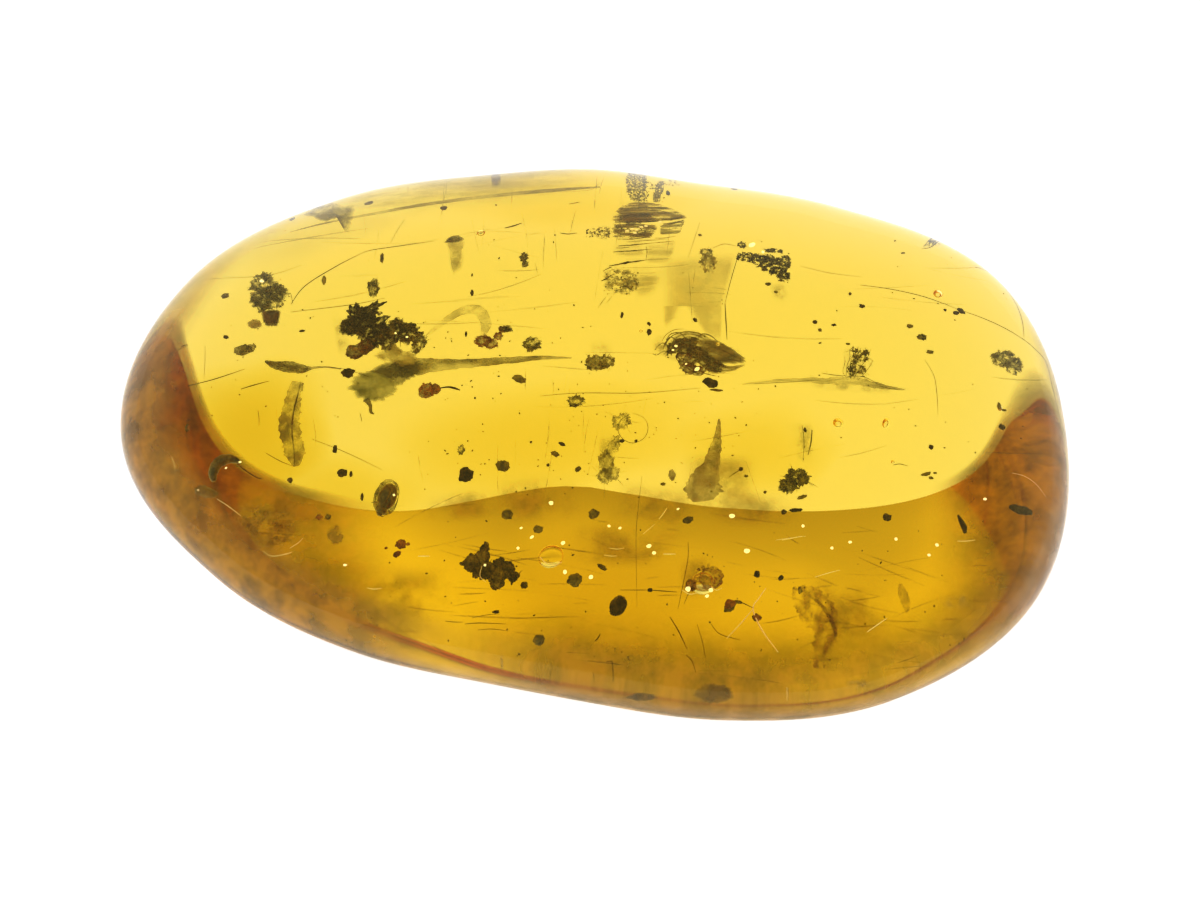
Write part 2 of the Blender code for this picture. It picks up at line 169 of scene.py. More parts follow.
def seenAt(across, down, height):
    # The point at a height in the stone that shows at this place of the view, past the bend at the crown
    ray, hit = crownHit(across, down)
    step = view["slopeStep"]
    slopes = []
    for axis in ((step, 0, 0), (0, step, 0), (0, 0, step)):
        slopes.append(crownDepth(hit + Vector(axis)) - crownDepth(hit - Vector(axis)))
    normal = Vector(slopes).normalized()
    ratio = 1 / stone["lightBend"]
    facing = -normal.dot(ray)
    bent = ray * ratio + normal * (ratio * facing - math.sqrt(max(0, 1 - ratio**2 * (1 - facing**2))))
    depth = height
    point = hit + bent * ((depth - hit.z) / bent.z)
    while crownDepth(point) > -stone["skin"] and depth > stone["girdleHeight"]:
        depth -= view["sinkStep"]
        point = hit + bent * ((depth - hit.z) / bent.z)
    return point


# Shader groups that several finishes share


def addSocket(tree, label, direction, kind, value=None):
    socket = tree.interface.new_socket(name=label, in_out=direction, socket_type=kind)
    if value is not None:
        socket.default_value = value
    return socket


def newGroup(name, inputs, outputs):
    tree = bpy.data.node_groups.new(name, "ShaderNodeTree")
    for label, kind, value in inputs:
        addSocket(tree, label, "INPUT", kind, value)
    for label, kind in outputs:
        addSocket(tree, label, "OUTPUT", kind)
    return tree, tree.nodes.new("NodeGroupInput"), tree.nodes.new("NodeGroupOutput")


def rampOf(tree, stops):
    ramp = tree.nodes.new("ShaderNodeValToRGB")
    ramp.color_ramp.elements[0].position = stops[0][0]
    ramp.color_ramp.elements[0].color = (*stops[0][1], 1)
    ramp.color_ramp.elements[1].position = stops[-1][0]
    ramp.color_ramp.elements[1].color = (*stops[-1][1], 1)
    for position, colour in stops[1:-1]:
        ramp.color_ramp.elements.new(position).color = (*colour, 1)
    return ramp


def noiseOf(tree, scaleSocket, detail, roughness, vector=None):
    node = tree.nodes.new("ShaderNodeTexNoise")
    node.inputs["Detail"].default_value = detail
    node.inputs["Roughness"].default_value = roughness
    if vector is None:
        vector = tree.nodes.new("ShaderNodeTexCoord").outputs["Object"]
    tree.links.new(vector, node.inputs["Vector"])
    tree.links.new(scaleSocket, node.inputs["Scale"])
    return node


def mathOf(tree, operation, first, second=None, clamp=False):
    node = tree.nodes.new("ShaderNodeMath")
    node.operation = operation
    node.use_clamp = clamp
    for index, value in enumerate((first, second)):
        if value is None:
            continue
        if isinstance(value, (int, float)):
            node.inputs[index].default_value = value
        else:
            tree.links.new(value, node.inputs[index])
    return node.outputs[0]


def mixOf(tree, factor, first, second):
    node = tree.nodes.new("ShaderNodeMix")
    node.data_type = "RGBA"
    tree.links.new(factor, node.inputs["Factor"])
    for socket, value in ((node.inputs[6], first), (node.inputs[7], second)):
        if isinstance(value, tuple):
            socket.default_value = (*value, 1)
        else:
            tree.links.new(value, socket)
    return node.outputs[2]


def stretchOf(tree, vector, stretch):
    # The vector with its X pulled by the stretch
    joined = tree.nodes.new("ShaderNodeCombineXYZ")
    joined.inputs[1].default_value = 1
    joined.inputs[2].default_value = 1
    tree.links.new(stretch, joined.inputs[0])
    pulled = tree.nodes.new("ShaderNodeVectorMath")
    pulled.operation = "MULTIPLY"
    tree.links.new(vector, pulled.inputs[0])
    tree.links.new(joined.outputs[0], pulled.inputs[1])
    return pulled.outputs[0]


def makeMottle():
    # Three tones in uneven patches with finer grime over them, and the height of its crumb
    tree, given, made = newGroup(
        "mottle",
        (
            ("Scale", "NodeSocketFloat", 1200.0), ("Grime Scale", "NodeSocketFloat", 6000.0),
            ("Dark", "NodeSocketColor", (0.02, 0.01, 0.005, 1)),
            ("Middle", "NodeSocketColor", (0.1, 0.05, 0.02, 1)),
            ("Light", "NodeSocketColor", (0.3, 0.18, 0.07, 1)),
        ),
        (("Color", "NodeSocketColor"), ("Height", "NodeSocketFloat")),
    )
    patches = noiseOf(tree, given.outputs["Scale"], 4.0, 0.6)
    grime = noiseOf(tree, given.outputs["Grime Scale"], 3.0, 0.65)
    low = rampOf(tree, ((0.36, (0, 0, 0)), (0.52, (1, 1, 1))))
    high = rampOf(tree, ((0.54, (0, 0, 0)), (0.72, (1, 1, 1))))
    tree.links.new(patches.outputs["Fac"], low.inputs[0])
    tree.links.new(patches.outputs["Fac"], high.inputs[0])
    toned = mixOf(tree, low.outputs[0], given.outputs["Dark"], given.outputs["Middle"])
    toned = mixOf(tree, high.outputs[0], toned, given.outputs["Light"])
    dirt = rampOf(tree, ((0.35, (0.35, 0.35, 0.35)), (0.6, (1, 1, 1))))
    tree.links.new(grime.outputs["Fac"], dirt.inputs[0])
    dirty = tree.nodes.new("ShaderNodeMix")
    dirty.data_type = "RGBA"
    dirty.blend_type = "MULTIPLY"
    dirty.inputs["Factor"].default_value = 1
    tree.links.new(toned, dirty.inputs[6])
    tree.links.new(dirt.outputs[0], dirty.inputs[7])
    height = mathOf(tree, "ADD", patches.outputs["Fac"], grime.outputs["Fac"])
    tree.links.new(dirty.outputs[2], made.inputs["Color"])
    tree.links.new(height, made.inputs["Height"])
    return tree


def makeFibre():
    # Lengthwise streaks: noise stretched along the turned X axis
    tree, given, made = newGroup(
        "fibre",
        (
            ("Scale", "NodeSocketFloat", 3000.0), ("Stretch", "NodeSocketFloat", 0.08),
            ("Turn", "NodeSocketFloat", 0.0), ("Detail", "NodeSocketFloat", 5.0),
            ("Dark", "NodeSocketColor", (0.02, 0.01, 0.005, 1)),
            ("Light", "NodeSocketColor", (0.3, 0.2, 0.08, 1)),
        ),
        (("Color", "NodeSocketColor"), ("Height", "NodeSocketFloat")),
    )
    coords = tree.nodes.new("ShaderNodeTexCoord")
    turned = tree.nodes.new("ShaderNodeVectorRotate")
    turned.rotation_type = "Z_AXIS"
    tree.links.new(coords.outputs["Object"], turned.inputs["Vector"])
    tree.links.new(given.outputs["Turn"], turned.inputs["Angle"])
    pulled = stretchOf(tree, turned.outputs[0], given.outputs["Stretch"])
    streaks = noiseOf(tree, given.outputs["Scale"], 5.0, 0.6, pulled)
    tree.links.new(given.outputs["Detail"], streaks.inputs["Detail"])
    ramp = rampOf(tree, ((0.38, (0, 0, 0)), (0.62, (1, 1, 1))))
    tree.links.new(streaks.outputs["Fac"], ramp.inputs[0])
    toned = mixOf(tree, ramp.outputs[0], given.outputs["Dark"], given.outputs["Light"])
    tree.links.new(toned, made.inputs["Color"])
    tree.links.new(streaks.outputs["Fac"], made.inputs["Height"])
    return tree


def makeThinning():
    # How much of a thin film or a decayed scrap is left: between Low and High, in torn patches
    tree, given, made = newGroup(
        "thinning",
        (
            ("Scale", "NodeSocketFloat", 1500.0), ("Low", "NodeSocketFloat", 0.2),
            ("High", "NodeSocketFloat", 0.8), ("Stretch", "NodeSocketFloat", 1.0),
            ("Edge", "NodeSocketFloat", 0.15),
        ),
        (("Alpha", "NodeSocketFloat"),),
    )
    coords = tree.nodes.new("ShaderNodeTexCoord")
    pulled = stretchOf(tree, coords.outputs["Object"], given.outputs["Stretch"])
    patches = noiseOf(tree, given.outputs["Scale"], 5.0, 0.62, pulled)
    spread = tree.nodes.new("ShaderNodeMapRange")
    spread.interpolation_type = "SMOOTHSTEP"
    tree.links.new(mathOf(tree, "SUBTRACT", 0.5, given.outputs["Edge"]), spread.inputs["From Min"])
    tree.links.new(mathOf(tree, "ADD", 0.5, given.outputs["Edge"]), spread.inputs["From Max"])
    tree.links.new(patches.outputs["Fac"], spread.inputs["Value"])
    tree.links.new(given.outputs["Low"], spread.inputs["To Min"])
    tree.links.new(given.outputs["High"], spread.inputs["To Max"])
    tree.links.new(spread.outputs[0], made.inputs["Alpha"])
    return tree


bumpDepth = 0.00004  # metres
mottle = makeMottle()
fibre = makeFibre()
thinning = makeThinning()
print("shader groups built")

# Finishes of what is sealed in the stone: dark, middle and light tones, patch and grime scale per metre
crumbFinishes = {
    "insectBrown": {
        "slot": "insect_brown", "tones": ((0.035, 0.018, 0.003), (0.15, 0.08, 0.013), (0.5, 0.3, 0.06)),
        "scales": (2600, 9000), "roughness": 0.38, "bump": 0.35, "coat": 0.3,
    },
    "beetleBrown": {
        "slot": "beetle_brown", "tones": ((0.05, 0.033, 0.006), (0.19, 0.125, 0.022), (0.52, 0.37, 0.08)),
        "scales": (2600, 9000), "roughness": 0.3, "bump": 0.3, "coat": 0.5,
    },
    "barkDark": {
        "slot": "bark_dark", "tones": ((0.03, 0.018, 0.004), (0.12, 0.075, 0.015), (0.4, 0.27, 0.06)),
        "scales": (2200, 9000), "roughness": 0.85, "bump": 0.8, "coat": 0.0,
    },
    "barkBrown": {
        "slot": "bark_dark", "tones": ((0.07, 0.045, 0.008), (0.24, 0.16, 0.03), (0.6, 0.42, 0.09)),
        "scales": (2600, 9000), "roughness": 0.85, "bump": 0.8, "coat": 0.0,
    },
    "grainOlive": {
        "slot": "moss_green", "tones": ((0.02, 0.016, 0.004), (0.18, 0.15, 0.035), (0.8, 0.7, 0.2)),
        "scales": (5200, 12000), "roughness": 0.9, "bump": 0.8, "coat": 0.0,
    },
    "barkRed": {
        "slot": "bark_red", "tones": ((0.12, 0.04, 0.006), (0.34, 0.13, 0.016), (0.62, 0.32, 0.05)),
        "scales": (2400, 8000), "roughness": 0.75, "bump": 0.6, "coat": 0.0,
    },
    "mossGreen": {
        "slot": "moss_green", "tones": ((0.1, 0.085, 0.01), (0.34, 0.29, 0.045), (0.75, 0.65, 0.13)),
        "scales": (2800, 9000), "roughness": 0.9, "bump": 0.8, "coat": 0.0,
    },
    "leafOlive": {
        "slot": "leaf_olive", "tones": ((0.16, 0.12, 0.014), (0.4, 0.31, 0.045), (0.75, 0.6, 0.12)),
        "scales": (1800, 7000), "roughness": 0.65, "bump": 0.4, "coat": 0.0,
    },
    "resinRed": {
        "slot": "bark_red", "tones": ((0.25, 0.06, 0.008), (0.6, 0.19, 0.02), (0.9, 0.45, 0.08)),
        "scales": (2600, 8000), "roughness": 0.6, "bump": 0.6, "coat": 0.0,
    },
}
print("finishes listed:", len(crumbFinishes))


def newMaterial(name, roughness):
    material = bpy.data.materials.new(name)
    material.use_nodes = True
    shader = material.node_tree.nodes["Principled BSDF"]
    shader.inputs["Roughness"].default_value = roughness
    return material, material.node_tree, shader


def placeGroup(tree, group, values):
    node = tree.nodes.new("ShaderNodeGroup")
    node.node_tree = group
    for label, value in values.items():
        node.inputs[label].default_value = (*value, 1) if isinstance(value, tuple) else value
    return node


def bumpInto(tree, shader, height, strength, distance):
    bump = tree.nodes.new("ShaderNodeBump")
    bump.inputs["Strength"].default_value = strength
    bump.inputs["Distance"].default_value = distance
    tree.links.new(height, bump.inputs["Height"])
    tree.links.new(bump.outputs[0], shader.inputs["Normal"])


def thinInto(tree, shader, alpha, faded=False):
    # Alpha from torn noise (scale, low, high, stretch, edge), times the fade stored on the points if asked
    scale, low, high, stretch, edge = alpha
    torn = placeGroup(tree, thinning, {
        "Scale": float(scale), "Low": low, "High": high, "Stretch": float(stretch), "Edge": edge,
    })
    left = torn.outputs["Alpha"]
    if faded:
        fade = tree.nodes.new("ShaderNodeAttribute")
        fade.attribute_name = "fade"
        left = mathOf(tree, "MULTIPLY", left, fade.outputs["Fac"])
    tree.links.new(left, shader.inputs["Alpha"])


def crumbMaterial(name, alpha=None):
    # An opaque crumb finish, or a part see-through one
    label = name if alpha is None else f"{name}Thin" + "_".join(str(int(value * 100)) for value in alpha)
    found = bpy.data.materials.get(label)
    if found:
        return found
    values = crumbFinishes[name]
    material, tree, shader = newMaterial(label, values["roughness"])
    dark, middle, light = values["tones"]
    tones = placeGroup(tree, mottle, {
        "Scale": float(values["scales"][0]), "Grime Scale": float(values["scales"][1]),
        "Dark": dark, "Middle": middle, "Light": light,
    })
    tree.links.new(tones.outputs["Color"], shader.inputs["Base Color"])
    shader.inputs["Coat Weight"].default_value = values["coat"]
    bumpInto(tree, shader, tones.outputs["Height"], values["bump"], bumpDepth)
    if alpha:
        thinInto(tree, shader, alpha)
    return material


def fibreMaterial(name, tones, turn, scale, stretch, roughness, alpha):
    # A thin streaked layer, faded towards its edge
    dark, light = tones
    material, tree, shader = newMaterial(name, roughness)
    streaks = placeGroup(tree, fibre, {
        "Scale": float(scale), "Stretch": stretch, "Turn": math.radians(turn), "Dark": dark, "Light": light,
    })
    tree.links.new(streaks.outputs["Color"], shader.inputs["Base Color"])
    bumpInto(tree, shader, streaks.outputs["Height"], 0.5, bumpDepth)
    thinInto(tree, shader, alpha, True)
    return material


# Mesh helpers; every shape is added to one bmesh in millimetres, then scaled to metres
restHeight = 5.3  # where most of what is sealed in lies
fleckShape = (0.4, 1.7)  # roughness and grain of a small fleck


def pebbleMesh():
    mesh = bmesh.new()
    bmesh.ops.create_uvsphere(mesh, u_segments=stone["segments"], v_segments=stone["rings"], radius=1)
    for vertex in mesh.verts:
        vertex.co = stonePoint(vertex.co.normalized())
    bmesh.ops.recalc_face_normals(mesh, faces=mesh.faces)
    return mesh


def makeShell():
    # The stone's surface as a search tree, in millimetres
    mesh = pebbleMesh()
    tree = BVHTree.FromBMesh(mesh)
    mesh.free()
    return tree


shell = makeShell()


def keepInside(mesh):
    # Whatever would reach past the stone's surface is laid just under it
    for vertex in mesh.verts:
        near, normal, _, _ = shell.find_nearest(vertex.co)
        if (vertex.co - near).dot(normal) > -stone["skin"]:
            vertex.co = near - normal * stone["skin"]


def makePiece(name, mesh, material, replaced=(), mirrored=False):
    if not mirrored:
        keepInside(mesh)
    bmesh.ops.scale(mesh, vec=(mm, mm, mm), verts=mesh.verts)
    data = bpy.data.meshes.new(name)
    mesh.to_mesh(data)
    mesh.free()
    data.shade_smooth()
    thing = bpy.data.objects.new(name, data)
    bpy.context.scene.collection.objects.link(thing)
    data.materials.append(material)
    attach(thing, "root")
    if replaced:
        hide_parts(*replaced)
    thing.visible_glossy = mirrored  # the stone's inner faces mirror the resin, not each crumb


def makeCrumb(name, mesh, finish, thin=None, replaced=()):
    makePiece(name, mesh, crumbMaterial(finish, thin), replaced)


def turnOf(degrees):
    x, y, z = (math.radians(value) for value in degrees)
    return Matrix.Rotation(z, 3, "Z") @ Matrix.Rotation(y, 3, "Y") @ Matrix.Rotation(x, 3, "X")


def smoothPath(points, steps):
    # Points along a smooth curve through the given ones
    path = []
    last = len(points) - 1
    for index in range(last):
        a = points[max(index - 1, 0)]
        b, c = points[index], points[index + 1]
        d = points[min(index + 2, last)]
        for step in range(steps):
            path.append(curveAt(a, b, c, d, step / steps))
    path.append(points[-1].copy())
    return path


def addBall(mesh, centre, radii, turn=(0, 0, 0), segments=16, rings=10):
    shape = Matrix.LocRotScale(Vector(centre), turnOf(turn), Vector(radii))
    made = bmesh.ops.create_uvsphere(mesh, u_segments=segments, v_segments=rings, radius=1, matrix=shape)
    return made["verts"]


# Ridges and bays of a lump: the strength and the frequency of each size of noise, and the least radius left
rock = {"shares": (0.55, 0.3), "waves": (2.3, 5.1), "least": 0.35, "shift": (7.3, 3.1, 5.7)}


def addRock(mesh, centre, radii, turn, rough, grain, seed, detail=4):
    made = bmesh.ops.create_icosphere(mesh, subdivisions=detail, radius=1)["verts"]
    shift = Vector(seed * share for share in rock["shift"])
    spin = turnOf(turn)
    for vertex in made:
        where = vertex.co * grain + shift
        push = noise.noise(where)
        for share, wave in zip(rock["shares"], rock["waves"]):
            push += share * noise.noise(where * wave)
        reach = max(rock["least"], 1 + rough * push)
        vertex.co = spin @ Vector(a * b for a, b in zip(vertex.co * reach, radii)) + Vector(centre)


def addBlade(mesh, points, wide, thick, steps=6, sides=8, ragged=0.0, seed=0):
    # A body swept along a path: wide and thick give half sizes at each of the points
    flat = Vector((0, 0, 1))
    path = smoothPath(points, steps)
    rows = []
    for index, place in enumerate(path):
        share = index / (len(path) - 1) * (len(points) - 1)
        low = min(int(share), len(points) - 2)
        u = share - low
        halfWide = wide[low] * (1 - u) + wide[low + 1] * u
        halfThick = thick[low] * (1 - u) + thick[low + 1] * u
        ahead = (path[min(index + 1, len(path) - 1)] - path[max(index - 1, 0)]).normalized()
        sideways = flat.cross(ahead).normalized()
        upward = ahead.cross(sideways).normalized()
        row = []
        for side in range(sides):
            angle = math.tau * side / sides
            push = 1.0
            if ragged:
                spot = Vector((index * 0.45, side * 0.7, seed * 3.7))
                push += ragged * noise.noise(spot) + ragged * 0.6 * noise.noise(spot * 2.7)
            offset = sideways * math.cos(angle) * halfWide * push
            offset += upward * math.sin(angle) * halfThick * push
            row.append(mesh.verts.new(place + offset))
        rows.append(row)
    for first, second in zip(rows, rows[1:]):
        for side in range(sides):
            after = (side + 1) % sides
            mesh.faces.new((first[side], first[after], second[after], second[side]))
    mesh.faces.new(list(reversed(rows[0])))
    mesh.faces.new(rows[-1])


def addThread(mesh, points, radius, steps=6, sides=5, tip=0.35):
    # Thickest beyond its middle, thinned to a share at both tips
    count = len(points)
    sizes = []
    for index in range(count):
        swell = math.sin(math.pi * min(0.5, (index + 0.3) / count))
        sizes.append(radius * (tip + (1 - tip) * swell))
    sizes[-1] = radius * tip
    addBlade(mesh, points, sizes, sizes, steps, sides)


def easeIn(value):
    value = max(0.0, min(1.0, value))
    return value * value * (3 - 2 * value)


def fadeLayer(mesh):
    return mesh.verts.layers.float_color.get("fade") or mesh.verts.layers.float_color.new("fade")


def addFlake(mesh, outline, thickness, seed, ragged, soft, steps=8, rings=8):
    # A flat body inside an outline: rings step in from its ragged edge to the middle, over and under.
    # It fades out over the outer soft share of its width.
    layer = fadeLayer(mesh)
    closed = outline + outline[:3]
    edge = smoothPath([Vector(p) for p in closed[:-2]], steps)[:-1]
    centre = sum(edge, Vector()) / len(edge)
    top, bottom = [], []
    for ring in range(rings):
        share = 1 - ring / rings
        lift = thickness / 2 * (0.25 + 0.75 * math.sqrt(1 - share**2))
        upper, lower = [], []
        for index, place in enumerate(edge):
            torn = 1 + ragged * noise.noise(Vector((index * 0.55, seed * 5.3, 0.2))) * share
            flat = centre + (place - centre) * share * torn
            bump = 1 + 0.5 * noise.noise(flat * 3 + Vector((seed, 0, 0)))
            fade = easeIn((1 - share) / soft)
            for side, rim in ((upper, lift), (lower, -lift)):
                vertex = mesh.verts.new(flat + Vector((0, 0, rim * bump)))
                vertex[layer] = (fade, fade, fade, 1)
                side.append(vertex)
        top.append(upper)
        bottom.append(lower)
    count = len(edge)
    for rows, turned in ((top, False), (bottom, True)):
        peak = mesh.verts.new(centre + Vector((0, 0, -thickness / 2 if turned else thickness / 2)))
        peak[layer] = (1, 1, 1, 1)
        for first, second in zip(rows, rows[1:]):
            for index in range(count):
                after = (index + 1) % count
                face = (first[index], first[after], second[after], second[index])
                mesh.faces.new(tuple(reversed(face)) if turned else face)
        for index in range(count):
            face = (rows[-1][index], rows[-1][(index + 1) % count], peak)
            mesh.faces.new(tuple(reversed(face)) if turned else face)
    for index in range(count):
        after = (index + 1) % count
        mesh.faces.new((top[0][after], top[0][index], bottom[0][index], bottom[0][after]))
    bmesh.ops.recalc_face_normals(mesh, faces=mesh.faces)


def spots(places, height):
    return [seenAt(x, y, height) for x, y in places]


# Floor: pale and lit from below, dimmer in the soft shadow under the stone's overhang
floor = {
    "glow": 0.85, "tone": 0.85, "dim": 0.6, "soft": 0.12, "restHalf": (16.0, 8.0),
    "shadowHalf": (15.2, 10.0), "shadowBack": 3.06, "drop": 0.05,
}


def ovalReach(tree, axes, centre, half):
    # 0 in the middle of an oval on the floor, 1 on its edge
    squares = []
    for index in range(2):
        offset = mathOf(tree, "SUBTRACT", axes.outputs[index], centre[index] * mm)
        scaled = mathOf(tree, "DIVIDE", offset, half[index] * mm)
        squares.append(mathOf(tree, "MULTIPLY", scaled, scaled))
    return mathOf(tree, "SQRT", mathOf(tree, "ADD", *squares))


def stepOf(tree, value, low, high, first, last):
    blend = tree.nodes.new("ShaderNodeMapRange")
    blend.interpolation_type = "SMOOTHSTEP"
    for label, number in (("From Min", low), ("From Max", high), ("To Min", first), ("To Max", last)):
        blend.inputs[label].default_value = number
    tree.links.new(value, blend.inputs["Value"])
    return blend.outputs[0]


def makeFloor():
    material, tree, shader = newMaterial("paleFloor", 0.9)
    shader.inputs["Specular IOR Level"].default_value = 0.1
    axes = tree.nodes.new("ShaderNodeSeparateXYZ")
    tree.links.new(tree.nodes.new("ShaderNodeTexCoord").outputs["Object"], axes.inputs[0])
    rest = ovalReach(tree, axes, stone["facetCentre"], floor["restHalf"])
    shadow = ovalReach(tree, axes, (0, floor["shadowBack"]), floor["shadowHalf"])
    outside = stepOf(tree, rest, 1 - floor["soft"], 1 + floor["soft"], 0.0, 1.0)
    within = stepOf(tree, shadow, 1 - 2 * floor["soft"], 1.0, 1.0, 0.0)
    shade = mathOf(tree, "MULTIPLY", outside, within)
    lit = mixOf(tree, shade, (1.0, 1.0, 1.0), (floor["dim"],) * 3)
    toned = mixOf(tree, shade, (floor["tone"],) * 3, (floor["tone"] * floor["dim"],) * 3)
    tree.links.new(lit, shader.inputs["Emission Color"])
    tree.links.new(toned, shader.inputs["Base Color"])
    shader.inputs["Emission Strength"].default_value = floor["glow"]
    material.cycles.emission_sampling = "NONE"
    mesh = bmesh.new()
    bmesh.ops.create_grid(mesh, x_segments=1, y_segments=1, size=1)
    data = bpy.data.meshes.new("floor")
    mesh.to_mesh(data)
    mesh.free()
    ground = bpy.data.objects.new("floor", data)
    bpy.context.scene.collection.objects.link(ground)
    ground.location.z = -floor["drop"] * mm
    data.materials.append(material)


# Sky: brightest low down, dimmer overhead and on the camera's side
sky = {
    "bright": 1.2, "overhead": 0.5, "nearSide": 0.6, "lowest": 15, "highest": 50, "nearFrom": -0.6,
    "nearTo": 0.1,
}


def makeSky():
    world = bpy.data.worlds.new("softSky")
    world.use_nodes = True
    bpy.context.scene.world = world
    world.cycles.sampling_method = "NONE"
    tree = world.node_tree
    split = tree.nodes.new("ShaderNodeSeparateXYZ")
    tree.links.new(tree.nodes.new("ShaderNodeTexCoord").outputs["Generated"], split.inputs[0])
    low, high = (math.sin(math.radians(sky[key])) for key in ("lowest", "highest"))
    shares = (
        stepOf(tree, split.outputs["Z"], low, high, sky["bright"], sky["overhead"]),
        stepOf(tree, split.outputs["Y"], sky["nearFrom"], sky["nearTo"], sky["nearSide"], 1.0),
    )
    strength = mathOf(tree, "MULTIPLY", shares[0], shares[1])
    tree.links.new(strength, tree.nodes["Background"].inputs["Strength"])
    tree.nodes["Background"].inputs["Color"].default_value = (1, 1, 1, 1)


makeFloor()
makeSky()
bpy.context.scene.view_settings.view_transform = "Standard"
bpy.context.scene.cycles.max_bounces = 16
bpy.context.scene.cycles.glossy_bounces = 16
bpy.context.scene.cycles.transmission_bounces = 16
bpy.context.scene.cycles.transparent_max_bounces = 24
print("floor, sky and camera set")

# The amber: one clear piece, with air bubbles as small hollows inside it.
# A bubble: place in the view, height, half sizes, turn
amber = {
    "density": 300.0, "takesOff": (0.03, 0.127, 0.885), "roughness": 0.02, "shine": (1.0, 0.8, 0.25),
    "waveScale": 400.0, "ripple": 0.012, "rippleDepth": 0.0004,
    "bubbles": {
        "rightUpper": ((938, 294), 6.0, (0.16, 0.16, 0.14), 0),
        "rightLeft": ((838, 423), 5.0, (0.17, 0.17, 0.15), 0),
        "rightMiddle": ((886, 423), 5.0, (0.12, 0.19, 0.12), -20),
        "upperLeft": ((481, 233), 5.6, (0.14, 0.12, 0.1), 10),
        "band": ((703, 582), 4.4, (0.42, 0.36, 0.3), 0), "low": ((690, 584), 4.6, (0.14, 0.14, 0.12), 0),
        "crescent": ((551, 556), 4.2, (0.42, 0.36, 0.1), 10),
        "fly": ((718, 344), 6.2, (0.06, 0.06, 0.06), 0), "tiny1": ((641, 331), 5.5, (0.06, 0.06, 0.05), 0),
        "tiny2": ((920, 338), 5.2, (0.1, 0.07, 0.06), 0),
        "tiny3": ((1000, 408), 5.0, (0.09, 0.12, 0.08), 0),
        "tiny4": ((893, 462), 5.0, (0.07, 0.07, 0.06), 0),
    },
}


def amberMaterial():
    material, tree, shader = newMaterial("clearAmber", amber["roughness"])
    shader.inputs["Base Color"].default_value = (1, 1, 1, 1)
    shader.inputs["Transmission Weight"].default_value = 1
    shader.inputs["IOR"].default_value = stone["lightBend"]
    shader.inputs["Specular Tint"].default_value = (*amber["shine"], 1)
    volume = tree.nodes.new("ShaderNodeVolumeAbsorption")
    volume.inputs["Color"].default_value = (*(1 - share for share in amber["takesOff"]), 1)
    volume.inputs["Density"].default_value = amber["density"]
    tree.links.new(volume.outputs[0], tree.nodes["Material Output"].inputs["Volume"])
    # Faint polish waves along the stone
    shape = {"Scale": amber["waveScale"], "Stretch": 0.3, "Turn": 0.1, "Detail": 1.0}
    waves = placeGroup(tree, fibre, shape)
    bumpInto(tree, shader, waves.outputs["Height"], amber["ripple"], amber["rippleDepth"])
    return material


def makeAmber():
    mesh = pebbleMesh()
    for place, height, radii, turn in amber["bubbles"].values():
        hollow = addBall(mesh, seenAt(*place, height), radii, (0, 0, turn), 20, 12)
        faces = {face for vertex in hollow for face in vertex.link_faces}
        bmesh.ops.reverse_faces(mesh, faces=list(faces))
    makePiece("amber", mesh, amberMaterial(), ("amber_top", "amber_base"), mirrored=True)


makeAmber()
print("amber cut")

# Cloudy skins just inside the stone. Each lies between two angles round the stone and two latitudes
# (-60 at the facet's edge, 0 at the girdle), and thins to nothing along its sides.
skins = {
    "bands": {
        "rindNear": {
            "angles": (214, 344, 24), "latitudes": (-34, 8, 10), "inset": 0.12, "scale": 300,
            "dark": (0.84, 0.53, 0.28), "light": (0.95, 0.64, 0.36), "wear": (0.42, 0.62),
        },
        "rindRight": {
            "angles": (322, 384, 24), "latitudes": (-36, 20, 14), "inset": 0.12, "scale": 300,
            "dark": (0.84, 0.58, 0.34), "light": (0.96, 0.7, 0.44), "wear": (0.36, 0.58),
        },
        "rindFar": {
            "angles": (82, 160, 26), "latitudes": (6, 48, 16), "inset": 0.12, "scale": 380,
            "dark": (0.66, 0.42, 0.05), "light": (0.94, 0.68, 0.14), "wear": (0.1, 0.38),
        },
        "cloudLeft": {
            "angles": (146, 245, 22), "latitudes": (-60, 30, 10), "inset": 0.3, "scale": 220,
            "dark": (0.94, 0.41, 0.008), "light": (1.0, 0.54, 0.025), "wear": (0.44, 0.68),
        },
        "cloudRight": {
            "angles": (316, 390, 22), "latitudes": (-60, -6, 10), "inset": 0.3, "scale": 220,
            "dark": (0.94, 0.53, 0.012), "light": (1.0, 0.64, 0.03), "wear": (0.42, 0.66),
        },
    },
    "thick": 0.03, "columns": 110, "rows": 30,
}


softEdge = 0.15  # of the torn noise


def hazeMaterial(name, dark, light, scale, wear, stretch=0.4):
    # Cloudy film: torn noise, times the fade stored on its points
    material, tree, shader = newMaterial(name, 0.7)
    middle = tuple((low + high) / 2 for low, high in zip(dark, light))
    cloud = placeGroup(tree, mottle, {
        "Scale": float(scale), "Grime Scale": scale * 4.0, "Dark": dark, "Middle": middle, "Light": light,
    })
    tree.links.new(cloud.outputs["Color"], shader.inputs["Base Color"])
    thinInto(tree, shader, (scale * 1.3, *wear, stretch, softEdge), True)
    return material


